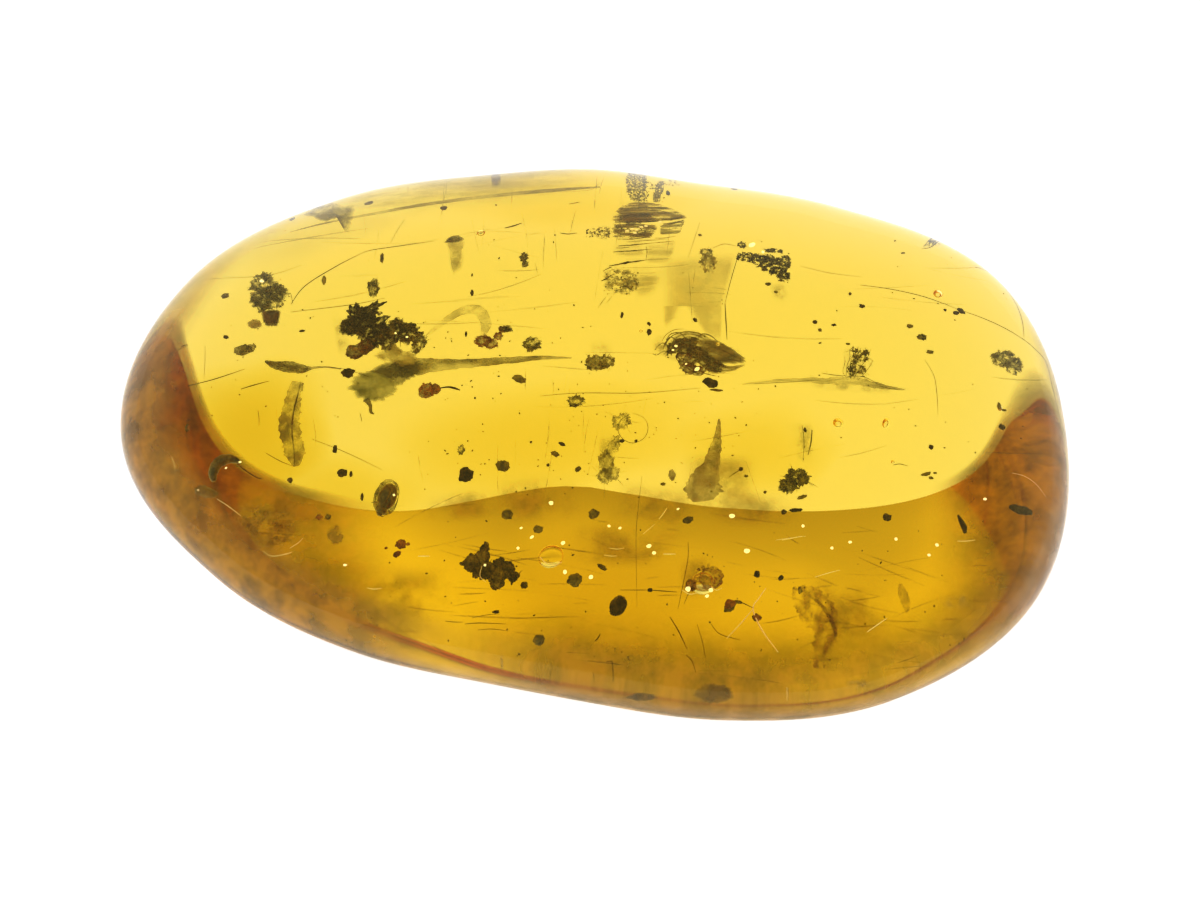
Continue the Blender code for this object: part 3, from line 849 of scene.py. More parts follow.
def addFilm(mesh, columns, rows, thick, placeAt):
    # A closed film of two sheets; placeAt(u, v) gives a point, the way to its other face, and its fade
    layer = fadeLayer(mesh)
    sheets = ([], [])
    for row in range(rows + 1):
        lines = ([], [])
        for column in range(columns + 1):
            point, inward, fade = placeAt(column / columns, row / rows)
            for side in range(2):
                vertex = mesh.verts.new(point + inward * thick * side)
                vertex[layer] = (fade, fade, fade, 1)
                lines[side].append(vertex)
        for side in range(2):
            sheets[side].append(lines[side])
    outer, inner = sheets
    for i in range(rows):
        for j in range(columns):
            mesh.faces.new((outer[i][j], outer[i][j + 1], outer[i + 1][j + 1], outer[i + 1][j]))
            mesh.faces.new((inner[i + 1][j], inner[i + 1][j + 1], inner[i][j + 1], inner[i][j]))
    rims = [(i, j, i, j + 1) for i in (0, rows) for j in range(columns)]
    rims += [(i, j, i + 1, j) for j in (0, columns) for i in range(rows)]
    for i, j, k, m in rims:
        mesh.faces.new((outer[i][j], outer[k][m], inner[k][m], inner[i][j]))
    bmesh.ops.recalc_face_normals(mesh, faces=mesh.faces)


def skinPlace(band):
    first, last, soft = band["angles"]
    low, high, fringe = band["latitudes"]

    def placeAt(u, v):
        angle, latitude = first + (last - first) * u, low + (high - low) * v
        fade = easeIn((angle - first) / soft) * easeIn((last - angle) / soft)
        fade *= easeIn((latitude - low) / fringe) * easeIn((high - latitude) / fringe)
        angle, latitude = math.radians(angle), math.radians(latitude)
        flat = Vector((math.cos(angle), math.sin(angle), 0))
        inward = (Vector((0, 0, 0.8 if latitude < 0 else -0.4)) - flat).normalized()
        point = stonePoint(flat * math.cos(latitude) + Vector((0, 0, math.sin(latitude))))
        return point + inward * band["inset"], inward, fade

    return placeAt


def makeSkins():
    for name, band in skins["bands"].items():
        mesh = bmesh.new()
        addFilm(mesh, skins["columns"], skins["rows"], skins["thick"], skinPlace(band))
        finish = hazeMaterial(name + "Haze", band["dark"], band["light"], band["scale"], band["wear"])
        makePiece(name, mesh, finish)


makeSkins()
print("skins laid:", len(skins["bands"]))

# Deeper yellow flows in the amber: clear lenses that take off more light, thickest in their middle. The
# brown lenses in the lower band are deeper amber that also darkens the band as painted shade.
# A lens: place in the view, height, half sizes, turn, seed
flows = {
    "density": 1000.0, "yellow": (0.075, 0.145, 0.9), "brown": (0.25, 0.32, 0.9), "segments": 48,
    "rings": 24, "warp": 0.25, "bandShadeLenses": ("bandLeft", "bandMiddle", "bandRight", "bandFoot"),
    "bend": 1.4, "rim": 1.3,
    "lenses": {
        "flowLeft": ((245, 435), 2.6, (3.0, 2.6, 1.2), 20, 3),
        "flowMiddle": ((540, 440), 2.6, (6.0, 2.2, 0.6), 4, 8),
        "flowRight": ((760, 450), 2.6, (2.6, 1.8, 0.5), 0, 5),
        "flowLowLeft": ((330, 490), 2.8, (3.6, 1.4, 0.6), -10, 9),
        "flowFar": ((560, 190), 4.2, (5.5, 1.6, 0.5), 2, 12),
        "bandLeft": ((330, 570), 4.9, (4.4, 1.6, 0.05), -12, 4),
        "bandMiddle": ((600, 600), 4.8, (5.0, 2.2, 0.36), -3, 6),
        "bandRight": ((930, 580), 4.8, (4.2, 2.0, 0.26), 10, 7),
        "bandFoot": ((740, 640), 5.0, (6.0, 1.5, 0.12), 0, 2),
    },
}


def flowMaterial(tone):
    material, tree, shader = newMaterial(tone + "Flow", 0.0)
    shader.inputs["Base Color"].default_value = (1, 1, 1, 1)
    shader.inputs["Transmission Weight"].default_value = 1
    shader.inputs["IOR"].default_value = 1
    volume = tree.nodes.new("ShaderNodeVolumeAbsorption")
    volume.inputs["Color"].default_value = (*(1 - share for share in flows[tone]), 1)
    volume.inputs["Density"].default_value = flows["density"]
    tree.links.new(volume.outputs[0], tree.nodes["Material Output"].inputs["Volume"])
    return material


def makeFlows():
    finishes = {tone: flowMaterial(tone) for tone in ("yellow", "brown")}
    for name, (place, height, radii, turn, seed) in flows["lenses"].items():
        mesh = bmesh.new()
        bmesh.ops.create_uvsphere(mesh, u_segments=flows["segments"], v_segments=flows["rings"], radius=1)
        centre, spin = seenAt(*place, height), turnOf((0, 0, turn))
        for vertex in mesh.verts:
            flat = Vector((vertex.co.x, vertex.co.y, 0))
            warp = 1 + flows["warp"] * noise.noise(flat * flows["bend"] + Vector((seed * 3.1, 0, 0)))
            thin = max(0.0, 1 - flat.length_squared) ** flows["rim"]
            lift = math.copysign(thin, vertex.co.z) if abs(vertex.co.z) > 1e-4 else 0
            shape = Vector((flat.x * radii[0] * warp, flat.y * radii[1] * warp, lift * radii[2]))
            vertex.co = centre + spin @ shape
        bmesh.ops.recalc_face_normals(mesh, faces=mesh.faces)
        # Brown lenses darken the band: painted shade over deeper amber
        tone = "brown" if name in flows["bandShadeLenses"] else "yellow"
        makePiece(name, mesh, finishes[tone])


makeFlows()
print("flows laid:", len(flows["lenses"]))


# Ragged lumps and clumps. Each lump: place in the view, half sizes, turn and seed.
# Crumbs: count, spread and size. Hairs: count, length and thickness.
clumps = {
    "barkClumpLarge": {
        "finish": ("barkDark", (4200, 0.2, 1.0, 1.0, 0.1)), "height": 5.45,
        "replaces": ("bark_clump_large",), "rough": 1.0, "grain": 2.6,
        "lumps": (
            ((358, 319), (0.36, 0.4, 0.32), 20, 1), ((370, 328), (0.44, 0.4, 0.32), -25, 2),
            ((366, 312), (0.46, 0.16, 0.22), 34, 3), ((380, 331), (0.24, 0.22, 0.2), 0, 4),
            ((350, 327), (0.26, 0.2, 0.18), 30, 5), ((376, 340), (0.22, 0.16, 0.16), -10, 6),
        ),
        "crumbs": (70, 0.72, 0.06), "hairs": (5, 0.4, 0.016),
    },
    "barkClumpSmall": {
        "finish": ("barkBrown", (3800, 0.1, 1.0, 1.0, 0.12)), "height": 5.45,
        "replaces": ("bark_clump_small",), "rough": 0.95, "grain": 2.6,
        "lumps": (
            ((400, 331), (0.38, 0.3, 0.26), 20, 7), ((410, 334), (0.34, 0.26, 0.24), -30, 8),
            ((388, 343), (0.18, 0.24, 0.16), 30, 9), ((419, 345), (0.16, 0.3, 0.14), -24, 10),
            ((396, 324), (0.18, 0.16, 0.16), 20, 11),
        ),
        "crumbs": (60, 0.62, 0.05), "hairs": (5, 0.4, 0.015),
    },
    "barkLobe": {
        "finish": ("barkRed", (2600, 0.55, 0.95, 1.0, 0.12)), "height": 5.35, "rough": 0.45, "grain": 1.8,
        "lumps": (((357, 351), (0.34, 0.24, 0.18), 8, 12), ((367, 345), (0.28, 0.2, 0.16), 30, 13)),
        "crumbs": (4, 0.4, 0.04),
    },
    "plantTuft": {
        "finish": ("mossGreen", (3400, -0.15, 0.85, 1.0, 0.18)), "height": 5.35,
        "replaces": ("plant_tuft",), "rough": 0.75, "grain": 2.6,
        "lumps": (
            ((264, 284), (0.32, 0.36, 0.3), 0, 14), ((271, 298), (0.42, 0.36, 0.3), 20, 15),
            ((264, 298), (0.34, 0.34, 0.26), -20, 16), ((276, 292), (0.28, 0.26, 0.22), 0, 17),
        ),
        "crumbs": (70, 0.58, 0.045), "hairs": (150, 0.22, 0.01),
    },
    "grainClump": {
        "finish": ("grainOlive", (8000, -0.40, 0.95, 1.0, 0.08)), "replaces": ("grain_clump",),
        "rough": 0.9, "grain": 4.2,
        "lumps": (
            ((745, 257), (0.22, 0.13, 0.1), 0, 18), ((757, 259), (0.3, 0.16, 0.1), -8, 19),
            ((768, 263), (0.34, 0.24, 0.11), -25, 20), ((778, 267), (0.32, 0.28, 0.12), -30, 21),
            ((785, 262), (0.14, 0.2, 0.08), -10, 22), ((783, 276), (0.18, 0.16, 0.08), 0, 23),
            ((742, 245), (0.11, 0.1, 0.06), 0, 24), ((774, 251), (0.24, 0.06, 0.05), -12, 25),
        ),
        "crumbs": (430, 1.0, 0.03),
    },
    "mossLump": {
        "finish": ("mossGreen", (3000, 0.0, 0.72, 1.0, 0.14)), "replaces": ("moss_lump",), "rough": 0.8,
        "grain": 3.2,
        "lumps": (
            ((1004, 359), (0.3, 0.24, 0.18), 20, 24), ((1014, 364), (0.22, 0.26, 0.16), 0, 25),
            ((998, 357), (0.15, 0.13, 0.12), 0, 26), ((1012, 371), (0.14, 0.1, 0.08), -30, 27),
        ),
        "crumbs": (36, 0.42, 0.04),
    },
    "greenClump": {
        "finish": ("mossGreen", (3600, 0.25, 1.0, 1.0, 0.12)), "replaces": ("green_clump",), "rough": 0.8,
        "grain": 2.8,
        "lumps": (
            ((797, 477), (0.28, 0.22, 0.2), 0, 27), ((788, 485), (0.24, 0.2, 0.18), 30, 28),
            ((803, 479), (0.14, 0.16, 0.14), 0, 29),
        ),
        "crumbs": (40, 0.42, 0.045), "hairs": (8, 0.35, 0.012),
    },
    "darkCluster": {
        "finish": ("barkBrown", None), "replaces": ("dark_cluster",), "rough": 0.35, "grain": 2.0,
        "lumps": (
            ((472, 563), (0.26, 0.22, 0.2), 0, 30), ((482, 558), (0.24, 0.24, 0.2), 0, 31),
            ((486, 570), (0.26, 0.24, 0.2), 0, 32), ((497, 575), (0.28, 0.24, 0.2), 0, 33),
            ((508, 569), (0.22, 0.24, 0.18), 0, 34), ((499, 564), (0.2, 0.18, 0.16), 0, 35),
            ((513, 577), (0.16, 0.14, 0.14), 0, 36), ((477, 572), (0.16, 0.16, 0.14), 0, 37),
            ((484, 550), (0.13, 0.16, 0.12), 0, 38), ((497, 584), (0.22, 0.14, 0.14), 0, 39),
        ),
        "crumbs": (46, 0.8, 0.05), "hairs": (6, 0.3, 0.012),
    },
    "frassPellet": {
        "finish": ("barkDark", None), "replaces": ("frass_pellet",), "rough": 0.12, "grain": 2.4,
        "lumps": (((618, 606), (0.31, 0.25, 0.23), 50, 40),),
    },
    "oliveCrumb": {
        "finish": ("leafOlive", (3200, 0.25, 0.85, 1.0, 0.14)), "replaces": ("olive_crumb",), "rough": 0.4,
        "grain": 2.2,
        "lumps": (((596, 363), (0.34, 0.24, 0.2), 0, 41), ((606, 362), (0.22, 0.2, 0.16), 0, 42)),
        "crumbs": (26, 0.42, 0.045), "hairs": (10, 0.2, 0.01),
    },
    "resinCrumb": {
        "finish": ("resinRed", (3000, 0.25, 0.9, 1.0, 0.14)), "replaces": ("resin_crumb",), "rough": 0.5,
        "grain": 2.4,
        "lumps": (
            ((483, 341), (0.24, 0.18, 0.16), 0, 43), ((491, 344), (0.2, 0.16, 0.14), 10, 44),
            ((498, 336), (0.12, 0.12, 0.1), 0, 45), ((503, 329), (0.12, 0.1, 0.1), 0, 42),
        ),
        "crumbs": (30, 0.55, 0.035),
    },
    "redSeed": {
        "finish": ("resinRed", (2600, 0.45, 0.95, 1.0, 0.14)), "replaces": ("red_seed",), "rough": 0.2,
        "grain": 1.8,
        "lumps": (((426, 391), (0.26, 0.24, 0.2), 30, 46), ((435, 389), (0.18, 0.18, 0.12), 0, 47)),
        "crumbs": (5, 0.3, 0.04),
    },
    "oliveFlake": {
        "finish": ("leafOlive", (2400, 0.45, 0.95, 1.0, 0.14)), "replaces": ("olive_flake",), "rough": 0.3,
        "grain": 1.8,
        "lumps": (((243, 350), (0.28, 0.18, 0.14), 4, 48), ((250, 348), (0.18, 0.14, 0.12), 20, 49)),
        "crumbs": (6, 0.32, 0.04),
    },
    "seedHusk": {
        "finish": ("resinRed", (2200, 0.2, 0.7, 1.0, 0.16)), "replaces": ("seed_husk",), "rough": 0.25,
        "grain": 1.8,
        "lumps": (((711, 578), (0.36, 0.32, 0.3), 0, 50), ((691, 586), (0.16, 0.14, 0.12), 0, 51)),
        "crumbs": (20, 0.5, 0.04),
    },
    "woolTuft": {
        "finish": ("leafOlive", (2600, 0.02, 0.45, 1.0, 0.16)), "replaces": ("wool_tuft",), "rough": 0.7,
        "grain": 2.6,
        "lumps": (
            ((621, 421), (0.26, 0.24, 0.18), 0, 52), ((607, 462), (0.2, 0.34, 0.16), 10, 53),
            ((613, 446), (0.16, 0.3, 0.12), -20, 54), ((604, 476), (0.2, 0.2, 0.14), 0, 55),
            ((612, 473), (0.2, 0.2, 0.12), 0, 56),
        ),
        "crumbs": (20, 0.5, 0.035), "hairs": (20, 0.4, 0.008),
    },
    "bladeFan": {
        "finish": ("leafOlive", (6500, -0.45, 0.95, 1.0, 0.08)), "height": 5.35, "rough": 0.8,
        "grain": 3.4,
        "lumps": (
            ((852, 370), (0.12, 0.22, 0.08), -10, 70), ((857, 358), (0.14, 0.26, 0.08), -12, 71),
            ((865, 356), (0.1, 0.2, 0.08), -20, 72), ((861, 370), (0.12, 0.14, 0.08), -20, 73),
            ((853, 350), (0.1, 0.06, 0.05), 0, 74),
        ),
        "crumbs": (110, 0.55, 0.026), "hairs": (36, 0.26, 0.007),
    },
    "smallClump": {
        "finish": ("leafOlive", (3200, -0.10, 0.55, 1.0, 0.16)), "rough": 0.7, "grain": 2.6,
        "lumps": (((708, 263), (0.22, 0.3, 0.16), -10, 57), ((706, 252), (0.16, 0.1, 0.1), 0, 58)),
        "crumbs": (30, 0.35, 0.035), "hairs": (40, 0.14, 0.008),
    },
    "raggedBits": {
        "finish": ("mossGreen", (3600, 0.15, 0.95, 1.0, 0.12)), "height": 5.5, "rough": 0.8, "grain": 2.6,
        "lumps": (
            ((524, 257), (0.12, 0.14, 0.1), 0, 59), ((525, 264), (0.1, 0.1, 0.08), 0, 60),
            ((373, 288), (0.16, 0.26, 0.12), 0, 61), ((461, 450), (0.1, 0.12, 0.08), 0, 62),
            ((922, 337), (0.13, 0.1, 0.08), 0, 63), ((576, 401), (0.24, 0.16, 0.12), 0, 64),
            ((532, 344), (0.24, 0.2, 0.16), 0, 65), ((507, 329), (0.14, 0.1, 0.08), 0, 66),
        ),
    },
}


def addHair(mesh, root, way, length, thickness, rng):
    bend = Vector((rng.uniform(-0.4, 0.4), rng.uniform(-0.4, 0.4), rng.uniform(-0.3, 0.3)))
    middle = root + way * length * 0.5 + bend * length * 0.2
    tip = root + way * length + bend * length * 0.5
    addThread(mesh, [root, middle, tip], thickness, 3, 4, 0.3)


def makeClumps():
    for number, (name, values) in enumerate(clumps.items()):
        rng = random.Random(100 + number)
        mesh = bmesh.new()
        centres = []
        for place, radii, turn, seed in values["lumps"]:
            centre = seenAt(*place, values.get("height", restHeight))
            centres.append((centre, radii))
            detail = 5 if len(values["lumps"]) < 5 else 4
            addRock(mesh, centre, radii, (0, 0, turn), values["rough"], values["grain"], seed, detail)
        middle = sum((centre for centre, radii in centres), Vector()) / len(centres)
        count, spread, size = values.get("crumbs", (0, 0, 0))
        for _ in range(count):
            centre, radii = rng.choice(centres)
            angle, lean = rng.uniform(0, math.tau), rng.uniform(-0.6, 0.6)
            out = Vector((math.cos(angle) * radii[0], math.sin(angle) * radii[1], lean * radii[2]))
            place = centre + out * rng.uniform(0.85, 1.25)
            if (place - middle).length > spread * 1.3:
                place = middle + (place - middle).normalized() * spread
            grain = size * rng.uniform(0.5, 1.5)
            shape = (grain * rng.uniform(0.7, 1.6), grain, grain * rng.uniform(0.6, 1.0))
            addRock(mesh, place, shape, (0, 0, rng.uniform(0, 180)), 0.5, 1.6, rng.randint(1, 999), 2)
        count, length, thickness = values.get("hairs", (0, 0, 0))
        for _ in range(count):
            centre, radii = rng.choice(centres)
            angle = rng.uniform(0, math.tau)
            way = Vector((math.cos(angle), math.sin(angle), rng.uniform(-0.3, 0.3))).normalized()
            root = centre + Vector((way.x * radii[0], way.y * radii[1], way.z * radii[2])) * 0.8
            addHair(mesh, root, way, length * rng.uniform(0.5, 1.2), thickness, rng)
        makeCrumb(name, mesh, *values["finish"], values.get("replaces", ()))


makeClumps()
print("clumps made:", len(clumps))

# Long bodies swept along a path: places in the view, half widths and half thicknesses in millimetres
blades = {
    "leafSliver": {
        "finish": ("leafOlive", (1800, 0.22, 0.7, 0.4, 0.15)), "height": 5.15,
        "replaces": ("leaf_sliver",), "ragged": 0.3,
        "path": ((384, 374), (400, 369), (425, 366), (460, 364), (500, 361), (540, 358), (572, 358)),
        "wide": (0.12, 0.34, 0.28, 0.17, 0.13, 0.08, 0.02),
        "thick": (0.05, 0.12, 0.1, 0.07, 0.06, 0.04, 0.02),
    },
    "spindleBud": {
        "finish": ("barkBrown", (2600, 0.3, 0.95, 0.4, 0.12)), "replaces": ("spindle_bud",),
        "ragged": 0.15,
        "path": ((265, 361), (275, 365), (290, 367), (303, 369), (312, 368), (326, 367), (341, 369)),
        "wide": (0.03, 0.14, 0.21, 0.15, 0.05, 0.03, 0.02),
        "thick": (0.03, 0.12, 0.17, 0.12, 0.04, 0.03, 0.02),
    },
    "stemStrip": {
        "finish": ("barkRed", (2200, 0.15, 0.62, 1.0, 0.15)), "height": 5.25, "replaces": ("stem_strip",),
        "ragged": 0.35,
        "path": ((298, 382), (294, 395), (291, 410), (289, 425), (292, 440), (295, 452), (296, 466)),
        "wide": (0.2, 0.24, 0.3, 0.34, 0.32, 0.34, 0.1), "thick": (0.06, 0.08, 0.1, 0.1, 0.08, 0.08, 0.03),
    },
    "stemRib": {
        "finish": ("barkBrown", (2400, 0.2, 0.95, 1.0, 0.12)), "ragged": 0.3,
        "path": ((301, 381), (297, 398), (293, 415), (292, 432), (294, 450), (295, 466)),
        "wide": (0.012, 0.026, 0.03, 0.022, 0.02, 0.01), "thick": (0.02, 0.03, 0.03, 0.03, 0.02, 0.015),
    },
    "grassBlade": {
        "finish": ("leafOlive", (2600, -0.05, 0.55, 0.15, 0.2)), "height": 5.25,
        "replaces": ("grass_blade",), "ragged": 0.45,
        "path": ((742, 384), (775, 381), (805, 380), (830, 381), (855, 381), (880, 386), (905, 390)),
        "wide": (0.02, 0.06, 0.08, 0.12, 0.17, 0.1, 0.015),
        "thick": (0.02, 0.05, 0.06, 0.07, 0.08, 0.06, 0.015),
    },
    "thornBody": {
        "finish": ("barkRed", (1800, 0.2, 0.62, 1.0, 0.15)), "height": 5.25, "replaces": ("thorn",),
        "ragged": 0.22,
        "path": ((719, 419), (718, 434), (715, 450), (711, 465), (706, 478), (703, 490), (704, 500)),
        "wide": (0.03, 0.11, 0.2, 0.26, 0.46, 0.62, 0.34),
        "thick": (0.03, 0.08, 0.14, 0.18, 0.2, 0.2, 0.1),
    },
    "leafScrap": {
        "finish": ("resinRed", (2400, -0.10, 0.55, 1.6, 0.2)), "replaces": ("leaf_scrap",), "ragged": 0.35,
        "path": ((793, 588), (803, 596), (813, 605), (822, 618), (826, 634), (822, 650), (820, 668)),
        "wide": (0.06, 0.4, 0.56, 0.5, 0.34, 0.3, 0.2),
        "thick": (0.03, 0.07, 0.08, 0.08, 0.06, 0.05, 0.03),
    },
    "leafScrapRib": {
        "finish": ("barkRed", (2400, 0.0, 0.75, 1.0, 0.2)), "height": 5.35, "ragged": 0.2,
        "path": ((793, 588), (808, 594), (822, 606), (832, 622), (836, 636)),
        "wide": (0.03, 0.05, 0.05, 0.06, 0.05), "thick": (0.03, 0.05, 0.05, 0.05, 0.04),
    },
    "curledLarva": {
        "finish": ("beetleBrown", None), "replaces": ("curled_larva",), "ragged": 0.1,
        "path": ((214, 481), (213, 473), (217, 464), (224, 460), (232, 459), (240, 462)),
        "wide": (0.07, 0.16, 0.19, 0.18, 0.13, 0.05), "thick": (0.06, 0.15, 0.18, 0.17, 0.12, 0.05),
    },
    "larvaTail": {
        "finish": ("barkRed", None), "ragged": 0.1,
        "path": ((238, 464), (245, 470), (256, 477), (262, 479)), "wide": (0.03, 0.02, 0.02, 0.01),
        "thick": (0.03, 0.02, 0.02, 0.01),
    },
    "lowLump": {
        "finish": ("beetleBrown", None), "height": 5.4, "ragged": 0.25,
        "path": ((194, 490), (199, 490), (205, 492), (212, 494), (218, 494)),
        "wide": (0.05, 0.15, 0.16, 0.13, 0.05), "thick": (0.05, 0.13, 0.14, 0.11, 0.05),
    },
    "seedSpine": {
        "finish": ("barkDark", None), "ragged": 0.1,
        "path": ((440, 388), (448, 387), (454, 388), (460, 390)), "wide": (0.02, 0.03, 0.04, 0.02),
        "thick": (0.02, 0.03, 0.04, 0.02),
    },
    "capsule": {
        "finish": ("barkDark", None), "ragged": 0.1,
        "path": ((1009, 507), (1014, 508), (1020, 510), (1026, 511), (1032, 513)),
        "wide": (0.05, 0.13, 0.15, 0.14, 0.07), "thick": (0.05, 0.12, 0.13, 0.12, 0.06),
    },
    "capsuleThin": {
        "finish": ("barkDark", None), "ragged": 0.1,
        "path": ((958, 515), (961, 521), (964, 527), (965, 533)), "wide": (0.03, 0.08, 0.1, 0.05),
        "thick": (0.03, 0.07, 0.08, 0.04),
    },
    "grayScrapTail": {
        "finish": ("leafOlive", (2200, 0.4, 0.9, 1.0, 0.15)), "height": 5.2, "ragged": 0.2,
        "path": ((366, 399), (370, 405), (371, 412), (374, 414)), "wide": (0.12, 0.06, 0.05, 0.02),
        "thick": (0.05, 0.04, 0.03, 0.02),
    },
    "paleLens": {
        "finish": ("barkRed", (1800, 0.1, 0.35, 1.0, 0.15)), "ragged": 0.15,
        "path": ((900, 584), (903, 594), (906, 604), (907, 612)), "wide": (0.05, 0.16, 0.14, 0.04),
        "thick": (0.03, 0.05, 0.05, 0.03),
    },
    "edgeStreak": {
        "finish": ("leafOlive", (1200, 0.1, 0.5, 0.3, 0.15)), "height": 6.0, "ragged": 0.1,
        "path": ((290, 232), (330, 222), (372, 214), (428, 204), (510, 194), (558, 190), (600, 187)),
        "wide": (0.02, 0.04, 0.06, 0.07, 0.08, 0.08, 0.03),
        "thick": (0.02, 0.03, 0.03, 0.03, 0.03, 0.03, 0.02),
    },
    "archBand": {
        "finish": ("leafOlive", (1500, 0.05, 0.35, 1.0, 0.15)), "height": 5.6, "ragged": 0.12,
        "path": ((428, 334), (446, 320), (462, 311), (474, 309), (482, 314), (486, 325), (482, 338)),
        "wide": (0.05, 0.12, 0.15, 0.17, 0.2, 0.18, 0.06),
        "thick": (0.03, 0.04, 0.04, 0.04, 0.04, 0.04, 0.02),
    },
}


def makeBlades():
    for number, (name, values) in enumerate(blades.items()):
        mesh = bmesh.new()
        path = spots(values["path"], values.get("height", restHeight))
        addBlade(mesh, path, values["wide"], values["thick"], 10, 12, values["ragged"], number + 1)
        makeCrumb(name, mesh, *values["finish"], values.get("replaces", ()))


makeBlades()
print("blades made:", len(blades))


# The insect, lying on its side with its head to the left and its wings folded back.
# Lumps and lobes: place in the view, half sizes, turn, roughness, seed. Legs and feelers: height, places.
# Arcs: height, radius, places. Wings: outline, height, seed, dark and light tone, thinning, soft share.
gnat = {
    "height": 5.3,
    "lumps": (
        ((674, 348), (0.2, 0.18, 0.18), 15, 0.45, 70), ((670, 351), (0.11, 0.1, 0.1), 0, 0.2, 73),
        ((686, 347), (0.38, 0.24, 0.28), -18, 0.55, 71), ((698, 353), (0.36, 0.22, 0.26), -32, 0.55, 72),
        ((713, 368), (0.28, 0.13, 0.14), -16, 0.5, 74), ((703, 361), (0.3, 0.16, 0.18), -30, 0.5, 78),
        ((680, 342), (0.14, 0.1, 0.12), 0, 0.6, 79), ((693, 341), (0.16, 0.1, 0.14), 0, 0.6, 80),
    ),
    "lobes": (
        ((687, 359), (0.3, 0.2, 0.16), -24, 0.6, 81), ((689, 368), (0.27, 0.22, 0.18), -12, 0.4, 75),
        ((699, 371), (0.22, 0.16, 0.14), 20, 0.5, 76), ((683, 362), (0.14, 0.14, 0.12), 0, 0.4, 77),
    ),
    "abdomen": ((698, 352), (705, 357), (712, 361), (719, 364), (726, 367)), "abdomenSize": 0.19,
    "rings": 7, "grain": 2.6, "bodyThin": (3600, 0.45, 1.0, 1.0, 0.08),
    "lobeThin": (3200, 0.15, 0.9, 1.0, 0.14),
    "legs": (
        (5.15, ((682, 350), (676, 356), (680, 363), (688, 366))),
        (5.25, ((690, 353), (683, 361), (690, 370), (700, 374))),
        (5.15, ((698, 357), (694, 366), (704, 373), (716, 376))),
        (5.55, ((680, 343), (671, 337), (666, 342), (663, 349))),
        (5.6, ((687, 340), (680, 333), (671, 334), (666, 340))),
        (5.6, ((696, 341), (702, 334), (711, 336), (718, 342))),
    ),
    "feelers": (
        (5.4, ((669, 346), (663, 343), (658, 346), (655, 350))),
        (5.3, ((669, 351), (662, 352), (657, 355), (653, 354))),
    ),
    "arcs": (
        (5.75, 0.018, ((665, 345), (672, 336), (684, 332), (698, 333), (708, 338))),
        (5.75, 0.012, ((672, 342), (679, 336), (690, 334), (701, 337), (708, 342))),
        (5.75, 0.014, ((679, 340), (687, 337), (696, 338), (702, 342))),
        (5.75, 0.012, ((662, 341), (666, 335), (674, 330), (684, 329))),
    ),
    "legRadius": 0.02, "fuzz": 190, "fuzzLength": 0.2, "fuzzRadius": 0.006, "wingThick": 0.03,
    "wingTurn": -24,
    "wings": {
        "gnatDome": (
            (
                (664, 347), (670, 337), (682, 331), (698, 331), (710, 336), (722, 344), (716, 352),
                (692, 350),
            ),
            5.5, 1, (0.16, 0.095, 0.015), (0.52, 0.36, 0.07), (3400, 0.2, 0.75, 0.6, 0.14), 0.35,
        ),
        "gnatWings": (
            (
                (696, 340), (708, 338), (722, 342), (735, 350), (747, 360), (740, 364), (724, 364),
                (708, 360),
            ),
            5.4, 2, (0.13, 0.075, 0.014), (0.38, 0.23, 0.045), (2600, 0.5, 0.8, 0.3, 0.14), 0.22,
        ),
        "gnatHindWing": (
            ((704, 362), (718, 363), (732, 366), (747, 364), (738, 370), (722, 374), (708, 373)), 5.15, 3,
            (0.28, 0.18, 0.03), (0.62, 0.45, 0.09), (2600, 0.3, 0.6, 0.3, 0.14), 0.3,
        ),
        "gnatShade": (
            ((650, 342), (658, 334), (672, 338), (682, 352), (676, 362), (662, 358), (652, 352)), 5.2, 4,
            (0.3, 0.22, 0.04), (0.7, 0.55, 0.14), (3000, 0.02, 0.45, 1.0, 0.16), 0.8,
        ),
    },
    "veins": (
        ((700, 341), (716, 342), (731, 349), (745, 359)), ((702, 344), (718, 348), (732, 355), (744, 361)),
        ((704, 349), (718, 354), (731, 359), (742, 362)), ((708, 364), (722, 367), (735, 368), (745, 365)),
        ((708, 369), (720, 371), (731, 370), (740, 367)), ((706, 356), (716, 359), (726, 361), (736, 363)),
    ),
    "veinRadius": 0.01, "veinHeight": 5.46,
}


